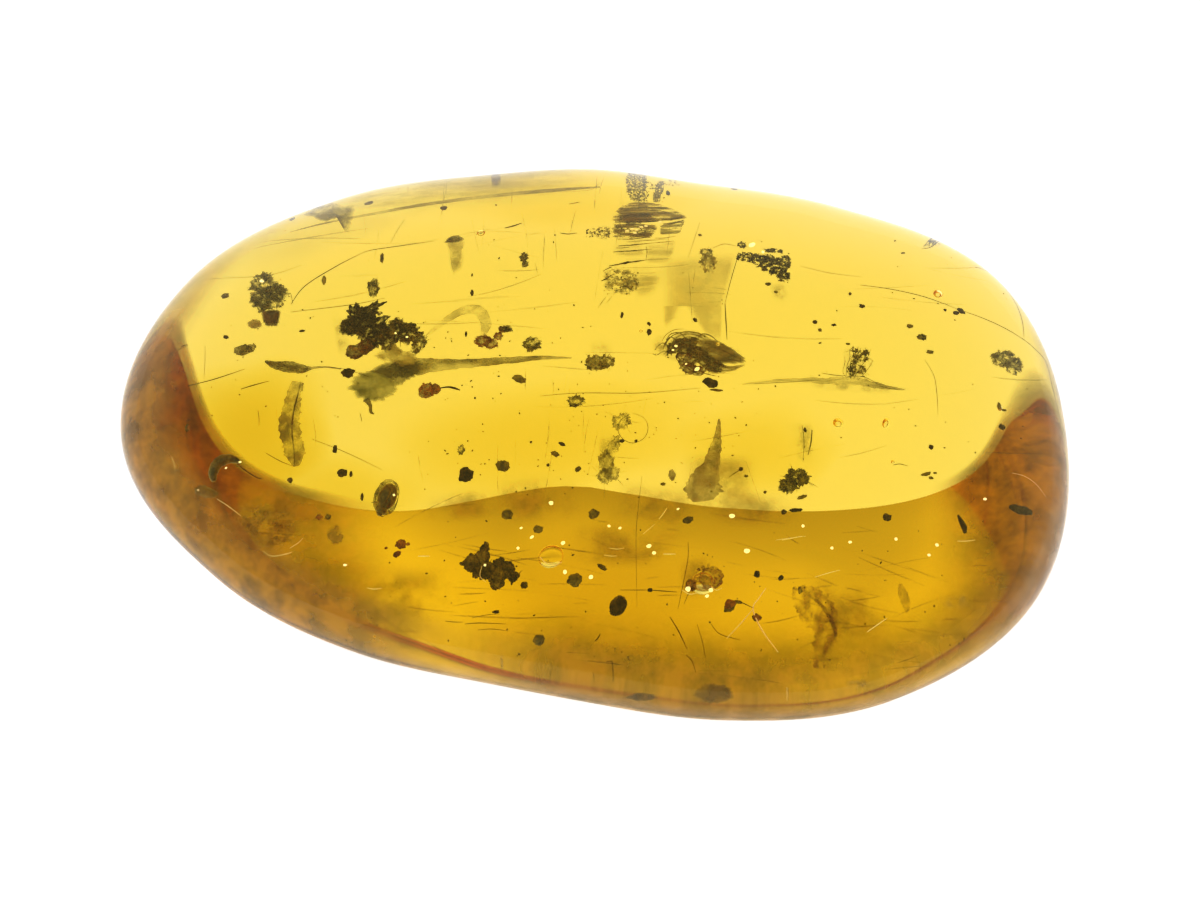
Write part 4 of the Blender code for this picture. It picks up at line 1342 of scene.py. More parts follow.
def gnatBody():
    mesh = bmesh.new()
    for place, radii, turn, rough, seed in gnat["lumps"]:
        addRock(mesh, seenAt(*place, gnat["height"]), radii, (0, 0, turn), rough, gnat["grain"], seed)
    # The abdomen swells between each pair of rings and thins to the tail
    path = smoothPath(spots(gnat["abdomen"], gnat["height"]), gnat["rings"])
    sizes = []
    for row in range(len(path)):
        u = row / (len(path) - 1)
        swell = 0.86 + 0.14 * abs(math.sin(math.pi * u * gnat["rings"]))
        sizes.append(gnat["abdomenSize"] * swell * max(0.15, math.sin(math.pi * (0.3 + 0.68 * u))))
    addBlade(mesh, path, sizes, sizes, 1, 16)
    for height, places in gnat["legs"]:
        addThread(mesh, spots(places, height), gnat["legRadius"], 6, 6, 0.5)
    for height, places in gnat["feelers"]:
        beads = smoothPath(spots(places, height), 3)
        sizes = [gnat["legRadius"] * (0.8 if index % 2 else 0.5) for index in range(len(beads))]
        addBlade(mesh, beads, sizes, sizes, 2, 6)
    rng = random.Random(7)
    size = gnat["fuzzRadius"]
    for _ in range(gnat["fuzz"]):
        place, radii, turn, rough, seed = rng.choice(gnat["lumps"])
        way = Vector((rng.uniform(-1, 1), rng.uniform(-1, 1), rng.uniform(-0.3, 1))).normalized()
        root = seenAt(*place, gnat["height"]) + Vector(way[k] * radii[k] for k in range(3)) * 0.9
        tip = root + (way + Vector((0.3, 0, 0))).normalized() * gnat["fuzzLength"] * rng.uniform(0.3, 1.0)
        sizes = (size, size, size * 0.3)
        addBlade(mesh, [root, root.lerp(tip, 0.5), tip], sizes, sizes, 2, 4)
    bmesh.ops.recalc_face_normals(mesh, faces=mesh.faces)
    makeCrumb("gnatBody", mesh, "insectBrown", gnat["bodyThin"], ("gnat",))


def gnatLobes():
    mesh = bmesh.new()
    for place, radii, turn, rough, seed in gnat["lobes"]:
        addRock(mesh, seenAt(*place, gnat["height"]), radii, (0, 0, turn), rough, gnat["grain"], seed)
    makePiece("gnatLobes", mesh, crumbMaterial("barkRed", gnat["lobeThin"]))


def gnatWings():
    for name, (outline, height, seed, dark, light, thin, soft) in gnat["wings"].items():
        mesh = bmesh.new()
        addFlake(mesh, spots(outline, height), gnat["wingThick"], seed, 0.10, soft)
        finish = fibreMaterial(name + "Film", (dark, light), gnat["wingTurn"], 4200, 0.15, 0.35, thin)
        makePiece(name, mesh, finish)
    mesh = bmesh.new()
    for places in gnat["veins"]:
        addThread(mesh, spots(places, gnat["veinHeight"]), gnat["veinRadius"], 6, 5)
    for height, radius, places in gnat["arcs"]:
        addThread(mesh, spots(places, height), radius, 6, 5, 0.3)
    makePiece("gnatVeins", mesh, crumbMaterial("barkBrown"))


gnatBody()
gnatLobes()
gnatWings()
print("gnat made")

# The ringed beetle
beetle = {
    "place": (387, 497), "turn": (30, 0, 68), "shell": (0.44, 0.31, 0.2), "rim": (0.54, 0.4),
    "rimSteps": 24, "chest": ((-0.43, 0, 0), (0.16, 0.2, 0.13)),
    "head": ((-0.56, 0, -0.02), (0.08, 0.11, 0.08)), "foot": ((0, 0, -0.08), (0.5, 0.37, 0.03)),
    "legsAt": (-0.28, -0.02, 0.24), "legRadius": 0.02,
    "leg": ((1, 0.2, -0.06), (1.2, 0.32, -0.05), (1.3, 0.36, -0.14)),
    "feeler": ((-0.6, 0.05, 0), (-0.62, 0.1, 0.02), (-0.58, 0.16, 0.03)), "feelerRadius": 0.014,
    "haloThin": (2600, 0.25, 0.7, 1.0, 0.15),
}


def makeBeetle():
    mesh, halo = bmesh.new(), bmesh.new()
    spin, centre = turnOf(beetle["turn"]), seenAt(*beetle["place"], restHeight)
    for vertex in addBall(mesh, (0, 0, 0.03), beetle["shell"], segments=40, rings=24):
        # A seam down the wing cases, and rows of pits beside it
        seam = math.exp(-((vertex.co.y / 0.02) ** 2)) * 0.035 if vertex.co.z > 0 else 0
        pits = 0.012 * math.cos(vertex.co.y * 70) * math.cos(vertex.co.x * 50)
        vertex.co.z -= seam + (pits if vertex.co.z > 0.05 else 0)
    addBall(mesh, *beetle["chest"], segments=20, rings=12)
    addBall(mesh, *beetle["head"], segments=14, rings=10)
    for side in (-1, 1):
        for along in beetle["legsAt"]:
            path = [Vector((along * x, side * y, z)) for x, y, z in beetle["leg"]]
            addThread(mesh, path, beetle["legRadius"], 4, 6)
        path = [Vector((x, side * y, z)) for x, y, z in beetle["feeler"]]
        addThread(mesh, path, beetle["feelerRadius"], 4, 6)
    wide, deep = beetle["rim"]
    ring, sizes = [], []
    for step in range(beetle["rimSteps"] + 1):
        angle = math.tau * step / beetle["rimSteps"]
        ring.append(Vector((math.cos(angle) * wide, math.sin(angle) * deep, -0.04)))
        sizes.append(0.035 + 0.02 * math.sin(step * 0.9))
    addBlade(halo, ring, sizes, [0.04] * len(ring), 3, 8, 0.3, 5)
    addBall(halo, *beetle["foot"], segments=32, rings=8)
    for made, name, material, replaced in (
        (mesh, "beetleShell", crumbMaterial("beetleBrown"), ("beetle",)),
        (halo, "beetleHalo", crumbMaterial("leafOlive", beetle["haloThin"]), ()),
    ):
        for vertex in made.verts:
            vertex.co = spin @ vertex.co + centre
        bmesh.ops.recalc_face_normals(made, faces=made.faces)
        makePiece(name, made, material, replaced)


makeBeetle()
print("beetle made")


def spangleMaterial(name, glow):
    # Thin cracks in the stone, metallic, with a painted glow by emission that stands in for the light they
    # catch
    material, tree, shader = newMaterial(name, 0.3)
    shader.inputs["Base Color"].default_value = (1.0, 0.90, 0.50, 1)
    shader.inputs["Metallic"].default_value = 1
    shader.inputs["Emission Color"].default_value = (1.0, 0.92, 0.70, 1)
    shader.inputs["Emission Strength"].default_value = glow
    material.cycles.emission_sampling = "NONE"  # too small to be used as lamps
    return material


# The wood splinter: stacked translucent layers, each an outline in the view.
# A layer: finish, height, thickness, soft share of its edge, raggedness, outline. A finish: dark tone, light
# tone, streak scale, streak stretch, turn, thinning. A line: three places, radius.
wood = {
    # The cream specks get a painted glow by emission
    "lineHeight": 5.42, "grainHeight": 5.45, "creamHeight": 5.5, "cream": (0.07, 0.03, 0.02),
    "creamPaintedGlow": 0.5,
    "layers": {
        "lens": ("woodBrown", 5.3, 0.26, 0.12, 0.06, (
            (611, 219), (617, 209), (628, 203), (644, 202), (660, 204), (674, 209), (685, 215), (685, 219),
            (664, 221), (638, 222), (613, 221),
        )),
        "lensLow": ("woodDark", 5.4, 0.16, 0.5, 0.1, (
            (611, 218), (618, 212), (636, 212), (654, 213), (660, 218), (656, 222), (636, 223), (614, 222),
        )),
        "blockLeft": ("woodGrey", 5.25, 0.24, 0.1, 0.14, (
            (613, 224), (630, 223), (648, 224), (657, 225), (656, 231), (650, 237), (636, 238), (616, 239),
            (612, 232),
        )),
        "blockRight": ("woodOlive", 5.3, 0.22, 0.12, 0.08, (
            (660, 225), (671, 222), (684, 221), (683, 227), (679, 233), (668, 234), (660, 234),
        )),
        "slab": ("woodThin", 5.2, 0.1, 0.25, 0.06, (
            (646, 244), (662, 243), (676, 241), (674, 252), (668, 262), (656, 264), (646, 262),
        )),
        "slabLeft": ("woodThin", 5.2, 0.06, 0.5, 0.1, (
            (613, 240), (640, 238), (646, 246), (645, 260), (625, 262), (612, 252),
        )),
        "patch": ("woodPatch", 5.2, 0.16, 0.35, 0.2, (
            (602, 272), (612, 267), (626, 268), (637, 272), (641, 282), (636, 293), (620, 296), (606, 290),
        )),
        "patchHaze": ("woodThin", 5.15, 0.06, 0.8, 0.12, (
            (630, 267), (648, 262), (664, 268), (662, 284), (652, 297), (637, 299), (630, 284),
        )),
        "grainTop": ("woodGrain", 5.6, 0.1, 0.1, 0.08, (
            (625, 182), (626, 175), (632, 172), (640, 173), (647, 177), (647, 186), (645, 194), (648, 201),
            (640, 203), (631, 201), (627, 195),
        )),
        "grainStrip": ("woodGrain", 5.6, 0.08, 0.1, 0.08, (
            (656, 185), (659, 181), (664, 181), (664, 189), (661, 196), (660, 202), (653, 202), (653, 196),
            (655, 190),
        )),
        "crumbs": ("woodSpeck", 5.3, 0.06, 0.4, 0.2, (
            (586, 229), (600, 226), (612, 228), (612, 236), (604, 240), (590, 236),
        )),
    },
    "finishes": {
        "woodBrown": ((0.16, 0.1, 0.014), (0.7, 0.52, 0.1), 9000, 0.05, -2, (7500, -0.35, 0.9, 0.04, 0.08)),
        "woodDark": ((0.06, 0.028, 0.004), (0.34, 0.18, 0.025), 8000, 0.06, -2, (
            5000, 0.05, 0.95, 0.08, 0.1,
        )),
        "woodGrey": ((0.14, 0.095, 0.035), (0.66, 0.5, 0.2), 8000, 0.12, -2, (
            5200, -0.30, 0.95, 0.16, 0.08,
        )),
        "woodOlive": ((0.16, 0.13, 0.03), (0.62, 0.54, 0.14), 9000, 0.06, -2, (
            6000, -0.20, 0.8, 0.06, 0.1,
        )),
        "woodThin": ((0.34, 0.24, 0.05), (0.75, 0.58, 0.16), 5200, 0.08, -6, (3600, 0.02, 0.38, 0.1, 0.14)),
        "woodPatch": ((0.08, 0.05, 0.012), (0.58, 0.43, 0.11), 5200, 0.6, -8, (
            5600, -0.10, 0.85, 0.7, 0.1,
        )),
        "woodGrain": ((0.05, 0.038, 0.012), (0.6, 0.5, 0.18), 16000, 0.8, 70, (
            15000, -0.20, 1.0, 1.0, 0.08,
        )),
        "woodSpeck": ((0.12, 0.08, 0.02), (0.5, 0.38, 0.12), 9000, 0.8, 30, (9000, -0.50, 0.7, 1.0, 0.1)),
    },
    "lines": (
        ((615, 222), (640, 222), (659, 221), 0.04), ((662, 220), (672, 219), (683, 217), 0.036),
        ((663, 224), (674, 223), (684, 220), 0.03), ((616, 239), (632, 239), (651, 237), 0.018),
        ((655, 238), (664, 238), (676, 236), 0.014), ((618, 246), (632, 245), (652, 243), 0.022),
        ((652, 243), (664, 242), (674, 241), 0.014), ((613, 252), (630, 251), (652, 249), 0.02),
        ((616, 248), (622, 248), (630, 247), 0.012), ((609, 266), (626, 263), (646, 260), 0.036),
        ((646, 260), (660, 259), (672, 259), 0.01), ((613, 217), (635, 215), (658, 214), 0.012),
        ((626, 208), (650, 207), (672, 210), 0.01), ((622, 211), (645, 210), (680, 213), 0.012),
        ((646, 246), (647, 252), (646, 260), 0.012), ((618, 230), (632, 231), (651, 230), 0.012),
        ((616, 234), (634, 235), (652, 233), 0.01), ((630, 203), (648, 203), (662, 205), 0.01),
        ((606, 297), (602, 302), (598, 308), 0.01), ((612, 296), (609, 300), (606, 303), 0.008),
        ((638, 240), (652, 240), (668, 239), 0.01), ((627, 242), (640, 241), (656, 240), 0.008),
        ((603, 271), (609, 268), (612, 267), 0.02), ((601, 281), (606, 279), (611, 275), 0.024),
        ((634, 279), (637, 284), (635, 290), 0.02), ((621, 286), (627, 287), (633, 291), 0.018),
    ),
    "grains": (230, 0.011, 0.03, (
        (626, 176, 648, 201), (654, 182, 664, 202), (604, 270, 639, 294), (664, 177, 680, 186),
        (586, 229, 610, 237), (616, 226, 652, 236), (645, 180, 656, 200),
    )),
    "creams": ((632, 229), (637, 230), (641, 227), (646, 226), (627, 231), (635, 233), (660, 222)),
}


def makeWood():
    finishes = {}
    for label, (dark, light, scale, stretch, turn, thin) in wood["finishes"].items():
        finishes[label] = fibreMaterial(label, (dark, light), turn, scale, stretch, 0.7, thin)
    replaced = ("wood_splinter",)
    for name, (finish, height, thickness, soft, ragged, outline) in wood["layers"].items():
        mesh = bmesh.new()
        addFlake(mesh, spots(outline, height), thickness, len(name), ragged, soft, 10)
        makePiece("wood" + name[0].upper() + name[1:], mesh, finishes[finish], replaced)
        replaced = ()
    mesh = bmesh.new()
    for first, middle, last, radius in wood["lines"]:
        path = spots((first, middle, last), wood["lineHeight"])
        wide = (radius * 0.5, radius, radius * 0.4)
        thick = (radius * 0.4, radius * 0.8, radius * 0.4)
        addBlade(mesh, path, wide, thick, 14, 6, 0.6, int(radius * 1000) + first[0])
    rng = random.Random(31)
    count, smallest, largest, boxes = wood["grains"]
    for _ in range(count):
        x0, y0, x1, y1 = rng.choice(boxes)
        size = rng.uniform(smallest, largest)
        place = seenAt(rng.uniform(x0, x1), rng.uniform(y0, y1), wood["grainHeight"])
        turn = (0, 0, rng.uniform(0, 180))
        addRock(mesh, place, (size * 1.5, size, size), turn, *fleckShape, rng.randint(1, 999), 1)
    makePiece("woodSplinters", mesh, crumbMaterial("barkBrown"))
    # Pale cream specks in the splinter, with a painted glow by emission
    mesh = bmesh.new()
    for place in wood["creams"]:
        centre = seenAt(*place, wood["creamHeight"])
        addRock(mesh, centre, wood["cream"], (0, 0, 0), *fleckShape, place[0], 2)
    makePiece("woodCreams", mesh, spangleMaterial("cream", wood["creamPaintedGlow"]))


makeWood()
print("wood splinter made")

# Thin scraps: outline in the view, height, thickness, dark tone, light tone, the scale, low and high of what
# is left, slot, node replaced
scraps = {
    "membraneScrap": (
        ((347, 388), (356, 374), (372, 370), (388, 374), (400, 385), (392, 396), (376, 402), (360, 399)),
        5.2, 0.16, (0.22, 0.24, 0.13), (0.62, 0.64, 0.42), (1500, 0.45, 0.9), "membrane_grey",
        ("membrane_scrap",),
    ),
    "membraneWing": (
        ((368, 372), (384, 362), (402, 360), (424, 362), (420, 372), (410, 380), (396, 385)), 5.25, 0.1,
        (0.1, 0.09, 0.045), (0.26, 0.23, 0.12), (1400, 0.5, 0.85), "membrane_grey", (),
    ),
    "creamScrap": (
        ((372, 356), (384, 346), (394, 342), (402, 350), (414, 352), (418, 362), (404, 366), (388, 364)),
        5.5, 0.1, (0.55, 0.42, 0.14), (0.95, 0.82, 0.42), (1700, 0.15, 0.8), "membrane_grey", (),
    ),
    "tuftFoot": (
        ((261, 311), (271, 310), (281, 311), (280, 318), (278, 325), (271, 326), (265, 325), (262, 318)),
        5.3, 0.4, (0.07, 0.03, 0.01), (0.22, 0.1, 0.03), (1500, 0.9, 1.0), "bark_red", (),
    ),
    "orangePatch": (
        ((247, 322), (253, 319), (261, 321), (262, 326), (255, 329), (248, 327)), 5.3, 0.16,
        (0.32, 0.17, 0.03), (0.6, 0.34, 0.07), (1500, 0.3, 0.8), "bark_red", (),
    ),
    "creamFlake": (
        ((328, 530), (336, 524), (343, 532), (342, 542), (334, 545), (327, 539)), 5.2, 0.06,
        (0.5, 0.33, 0.08), (0.9, 0.66, 0.22), (1700, 0.1, 0.7), "membrane_grey", (),
    ),
    "cone": (
        ((446, 240), (454, 236), (464, 240), (462, 256), (458, 270), (452, 272), (449, 256)), 5.8, 0.16,
        (0.3, 0.22, 0.07), (0.7, 0.58, 0.25), (1500, 0.1, 0.4), "leaf_olive", (),
    ),
    "coneCap": (
        ((443, 243), (449, 237), (458, 235), (465, 239), (458, 242), (450, 243)), 5.9, 0.14,
        (0.1, 0.07, 0.02), (0.26, 0.19, 0.06), (1500, 0.4, 0.85), "leaf_olive", (),
    ),
    "brownFlakeLow": (
        ((669, 470), (673, 469), (676, 475), (674, 481), (670, 480), (668, 475)), 5.2, 0.1,
        (0.14, 0.08, 0.02), (0.3, 0.18, 0.05), (1500, 0.5, 0.9), "bark_red", (),
    ),
    "smudgeUpper": (
        ((304, 216), (318, 206), (340, 204), (354, 206), (352, 222), (346, 233), (340, 218), (322, 222)),
        6.6, 0.05, (0.16, 0.12, 0.06), (0.34, 0.27, 0.14), (1300, 0.05, 0.65), "moss_green", (),
    ),
    "smudgeTop": (
        ((491, 176), (498, 174), (501, 180), (498, 187), (492, 186)), 6.2, 0.05, (0.12, 0.09, 0.05),
        (0.3, 0.24, 0.13), (3000, 0.3, 0.9), "moss_green", (),
    ),
    "triangleNet": (
        ((923, 234), (934, 233), (946, 242), (938, 246), (921, 249), (930, 241)), 6.0, 0.06,
        (0.07, 0.05, 0.025), (0.22, 0.17, 0.09), (7500, -0.5, 0.9), "moss_green", (),
    ),
    "rimSmudgeLeft": (
        ((622, 698), (636, 693), (652, 694), (656, 699), (640, 701)), 5.3, 0.05, (0.1, 0.07, 0.07),
        (0.3, 0.22, 0.2), (2400, 0.2, 0.8), "bark_dark", (),
    ),
    "rimSmudgeRight": (
        ((692, 694), (702, 685), (716, 683), (730, 688), (734, 698), (716, 704), (700, 702)), 5.3, 0.06,
        (0.16, 0.09, 0.06), (0.34, 0.2, 0.13), (1500, 0.3, 0.75), "bark_dark", (),
    ),
}


def makeScraps():
    for number, (name, values) in enumerate(scraps.items()):
        outline, height, thickness, dark, light, (scale, low, high), slot, replaced = values
        mesh = bmesh.new()
        addFlake(mesh, spots(outline, height), thickness, number, 0.22, 0.25)
        thin = (scale, low, high, 1.0, softEdge)
        material = fibreMaterial(name + "Film", (dark, light), number * 25, 2600, 0.5, 0.5, thin)
        makePiece(name, mesh, material, replaced)


makeScraps()
print("scraps made:", len(scraps))

# Threads: finish, height, radius and the places that each runs through
threads = {
    "hairs": ("barkDark", (
        (7.0, 0.018, ((291, 304), (305, 286), (335, 267), (362, 253))),
        (7.0, 0.013, ((362, 253), (372, 250), (400, 246), (434, 241))),
        (7.0, 0.013, ((291, 312), (349, 305), (385, 298))),
        (6.8, 0.009, ((203, 280), (264, 276), (302, 265))),
        (6.8, 0.008, ((405, 219), (397, 231), (390, 244))),
        (5.6, 0.018, ((188, 386), (215, 379), (245, 369))),
        (5.6, 0.02, ((241, 389), (254, 385), (269, 381))),
        (5.9, 0.014, ((157, 362), (172, 353), (188, 345))),
        (5.9, 0.022, ((181, 347), (185, 345), (188, 345))),
        (5.6, 0.008, ((205, 346), (205, 360), (204, 379))),
        (5.2, 0.01, ((312, 439), (345, 452), (382, 470))),
        (5.3, 0.012, ((266, 453), (280, 461), (295, 467))),
        (5.2, 0.012, ((360, 413), (361, 417), (362, 422))),
        (5.3, 0.01, ((258, 410), (259, 418), (259, 426))),
        (5.3, 0.009, ((340, 368), (355, 372), (372, 378))),
        (7.2, 0.014, ((860, 285), (890, 289), (925, 297), (960, 310))),
        (7.0, 0.016, ((960, 310), (985, 319), (1010, 331), (1030, 344))),
        (6.8, 0.02, (
            (1022, 338), (1036, 350), (1046, 362), (1052, 385), (1058, 410), (1064, 432), (1068, 450),
        )),
        (7.4, 0.018, ((975, 267), (990, 273), (1005, 288), (1016, 304), (1022, 320), (1024, 337))),
        (6.6, 0.009, ((925, 360), (934, 376), (937, 395), (938, 415))),
        (7.0, 0.008, ((800, 266), (830, 273), (862, 277))),
        (5.6, 0.01, ((713, 248), (724, 244), (736, 246))),
        (6.1, 0.02, ((921, 235), (930, 234), (944, 241))),
        (6.1, 0.018, ((944, 241), (934, 245), (922, 249))),
        (6.1, 0.014, ((928, 235), (930, 242), (929, 247))),
        (6.1, 0.012, ((934, 236), (936, 241), (935, 245))),
        (5.6, 0.014, ((739, 252), (732, 276), (725, 303))),
        (5.5, 0.02, ((725, 303), (726, 322), (727, 340))),
        (5.0, 0.011, ((540, 396), (580, 393), (640, 393), (700, 388))),
        (5.3, 0.01, ((754, 384), (790, 382), (820, 380))),
        (5.4, 0.014, ((822, 373), (834, 375), (848, 376))),
        (5.4, 0.012, ((848, 376), (864, 377), (880, 385))),
        (5.4, 0.012, ((880, 386), (892, 389), (906, 389))),
        (5.4, 0.01, (
            (633, 413), (644, 418), (648, 428), (644, 438), (633, 443), (623, 439), (618, 430), (621, 420),
            (630, 414),
        )),
        (5.5, 0.01, ((850, 378), (852, 366), (858, 354), (861, 348))),
        (5.5, 0.01, ((854, 378), (860, 368), (867, 358), (871, 349))),
        (5.5, 0.009, ((846, 376), (847, 366), (850, 357), (849, 350))),
        (5.5, 0.009, ((858, 380), (864, 374), (870, 366), (873, 360))),
        (5.5, 0.008, ((852, 372), (856, 362), (864, 352), (866, 347))),
        (5.5, 0.008, ((848, 380), (843, 372), (845, 362), (844, 356))),
        (5.3, 0.016, ((741, 469), (735, 473), (729, 477))),
        (4.8, 0.007, ((642, 476), (638, 510), (636, 540), (637, 607))),
        (4.8, 0.016, ((650, 590), (663, 591), (677, 592))),
        (4.6, 0.016, ((612, 660), (613, 670), (613, 682))),
        (4.6, 0.012, ((606, 662), (610, 661), (613, 663))),
        (4.6, 0.01, ((593, 672), (594, 677), (594, 682))),
        (4.9, 0.022, ((595, 641), (598, 638), (600, 634))),
        (5.3, 0.014, ((465, 624), (480, 623), (506, 624))),
        (5.3, 0.01, ((472, 618), (486, 615), (500, 614))),
        (5.3, 0.012, ((445, 621), (454, 622), (463, 622))),
        (5.3, 0.01, ((478, 630), (492, 629), (508, 631))),
        (5.6, 0.022, ((812, 430), (811, 442), (808, 455))),
        (5.6, 0.01, ((802, 425), (804, 440), (803, 462))),
        (5.6, 0.02, ((560, 233), (568, 234), (577, 233))),
        (6.0, 0.018, ((569, 204), (575, 203), (580, 202))),
        (5.9, 0.03, ((505, 228), (513, 226), (522, 223))),
        (6.2, 0.016, ((736, 600), (745, 604), (753, 608))),
        (5.2, 0.014, ((893, 465), (900, 464), (908, 466))),
        (6.6, 0.01, ((291, 294), (292, 299), (293, 304))),
        (6.8, 0.006, ((600, 182), (590, 190), (560, 192))),
        (6.0, 0.007, ((700, 222), (694, 240), (688, 258))),
    )),
    "redHairs": ("barkRed", (
        (4.8, 0.012, ((688, 542), (688, 558), (684, 580), (678, 609))),
        (4.8, 0.012, ((697, 572), (690, 590), (684, 604))),
        (4.6, 0.018, ((670, 617), (679, 632), (687, 649))),
        (4.6, 0.014, ((686, 655), (692, 661), (696, 673))),
        (4.6, 0.01, ((697, 624), (702, 640), (706, 660))),
        (4.9, 0.012, ((711, 624), (720, 634), (740, 640))),
        (5.2, 0.012, ((620, 590), (640, 590), (652, 590))),
    )),
}


def makeThreads():
    for name, (finish, runs) in threads.items():
        mesh = bmesh.new()
        for height, radius, path in runs:
            addThread(mesh, spots(path, height), radius, 8, 6, 0.4)
        makeCrumb(name, mesh, finish)


makeThreads()
print("threads made")

# Small flecks: place in the view, half length, half width in millimetres, turn
flecks = {
    "darkFlecks": ("barkDark", 5.3, (
        (342, 473, 0.15, 0.13, 20), (351, 474, 0.05, 0.1, 0), (335, 449, 0.07, 0.14, 0),
        (290, 480, 0.08, 0.09, 30), (362, 497, 0.05, 0.12, 0), (466, 475, 0.23, 0.24, 12),
        (348, 373, 0.2, 0.16, 10), (444, 208, 0.11, 0.08, 0), (369, 203, 0.14, 0.08, 15),
        (292, 219, 0.1, 0.05, 30), (472, 293, 0.05, 0.13, 0), (466, 334, 0.04, 0.1, 0),
        (472, 275, 0.03, 0.06, 0), (226, 337, 0.09, 0.06, -20), (302, 331, 0.1, 0.04, 0),
        (649, 324, 0.05, 0.08, 30), (649, 332, 0.08, 0.11, 0), (622, 315, 0.05, 0.12, -10),
        (695, 320, 0.06, 0.08, 20), (815, 322, 0.08, 0.07, 0), (834, 325, 0.08, 0.05, 0),
        (862, 306, 0.09, 0.07, 0), (850, 294, 0.05, 0.05, 0), (956, 313, 0.1, 0.08, 0),
        (961, 311, 0.14, 0.08, -30), (562, 444, 0.12, 0.06, -30), (622, 441, 0.07, 0.06, 0),
        (636, 441, 0.05, 0.05, 0), (531, 442, 0.04, 0.04, 0), (548, 465, 0.05, 0.05, 0),
        (741, 469, 0.07, 0.07, 0), (746, 476, 0.07, 0.04, 0), (765, 492, 0.05, 0.05, 0),
        (784, 512, 0.08, 0.08, 0), (796, 510, 0.22, 0.06, 4), (887, 517, 0.14, 0.12, 0),
        (931, 447, 0.08, 0.08, 0), (1002, 427, 0.1, 0.1, 0), (756, 618, 0.13, 0.09, -30),
        (757, 574, 0.09, 0.1, 0), (781, 578, 0.09, 0.07, 30), (650, 590, 0.07, 0.06, 0),
        (496, 612, 0.1, 0.05, 0), (668, 193, 0.07, 0.1, 20), (692, 589, 0.08, 0.07, 0),
        (496, 205, 0.03, 0.03, 0), (945, 310, 0.05, 0.05, 0), (716, 390, 0.2, 0.05, -5),
        (711, 383, 0.24, 0.17, -20), (805, 430, 0.05, 0.08, 0), (555, 235, 0.03, 0.03, 0),
        (475, 398, 0.03, 0.04, 0), (820, 343, 0.05, 0.03, 20), (803, 496, 0.06, 0.04, 0),
        (734, 189, 0.12, 0.05, -10), (855, 210, 0.14, 0.04, -12), (903, 253, 0.07, 0.03, 10),
    )),
    "redFlecks": ("resinRed", 5.3, (
        (401, 544, 0.16, 0.13, 10), (397, 554, 0.13, 0.08, 20), (408, 544, 0.06, 0.05, 0),
        (386, 548, 0.05, 0.04, 0), (188, 420, 0.06, 0.04, 0), (189, 428, 0.06, 0.1, 0),
        (319, 517, 0.1, 0.08, 0), (730, 604, 0.18, 0.13, 30), (757, 617, 0.13, 0.09, -30),
        (757, 574, 0.08, 0.1, 0),
    )),
    "oliveFlecks": ("leafOlive", 5.3, (
        (519, 379, 0.22, 0.13, -20), (503, 466, 0.2, 0.18, 0), (481, 233, 0.15, 0.04, 20),
        (926, 474, 0.16, 0.06, 20), (931, 478, 0.08, 0.05, 0), (935, 473, 0.06, 0.04, 0),
        (910, 326, 0.1, 0.08, 0), (930, 352, 0.12, 0.07, 0), (999, 406, 0.06, 0.14, 0),
        (1004, 410, 0.08, 0.04, 0), (555, 454, 0.14, 0.08, -20), (578, 469, 0.1, 0.08, 30),
        (507, 515, 0.18, 0.14, 0), (594, 514, 0.16, 0.14, 0), (538, 529, 0.16, 0.12, 0),
        (524, 585, 0.12, 0.1, 0), (575, 580, 0.22, 0.18, 0), (602, 567, 0.16, 0.07, -30),
        (539, 640, 0.18, 0.16, 20), (730, 606, 0.2, 0.14, 30), (738, 602, 0.12, 0.05, -10),
        (802, 497, 0.16, 0.06, 20), (324, 280, 0.07, 0.16, 0), (382, 258, 0.06, 0.18, 0),
        (225, 296, 0.12, 0.1, 30), (328, 517, 0.1, 0.08, 0), (187, 428, 0.06, 0.12, 0),
        (820, 330, 0.06, 0.06, 0), (848, 344, 0.07, 0.04, 0), (700, 235, 0.06, 0.05, 0),
        (768, 284, 0.1, 0.06, 0), (776, 292, 0.06, 0.05, 0), (663, 484, 0.08, 0.05, 0),
        (688, 520, 0.18, 0.1, 20), (800, 590, 0.06, 0.12, 0),
    )),
}


def makeFlecks():
    for number, (name, (finish, height, items)) in enumerate(flecks.items()):
        rng = random.Random(50 + number)
        mesh = bmesh.new()
        for x, y, wide, tall, turn in items:
            place = seenAt(x, y, height + rng.uniform(-0.5, 0.8))
            shape = (wide, tall, min(wide, tall) * 0.8)
            addRock(mesh, place, shape, (0, 0, turn), *fleckShape, rng.randint(1, 999), 3)
        makeCrumb(name, mesh, finish)


makeFlecks()
print("flecks made")

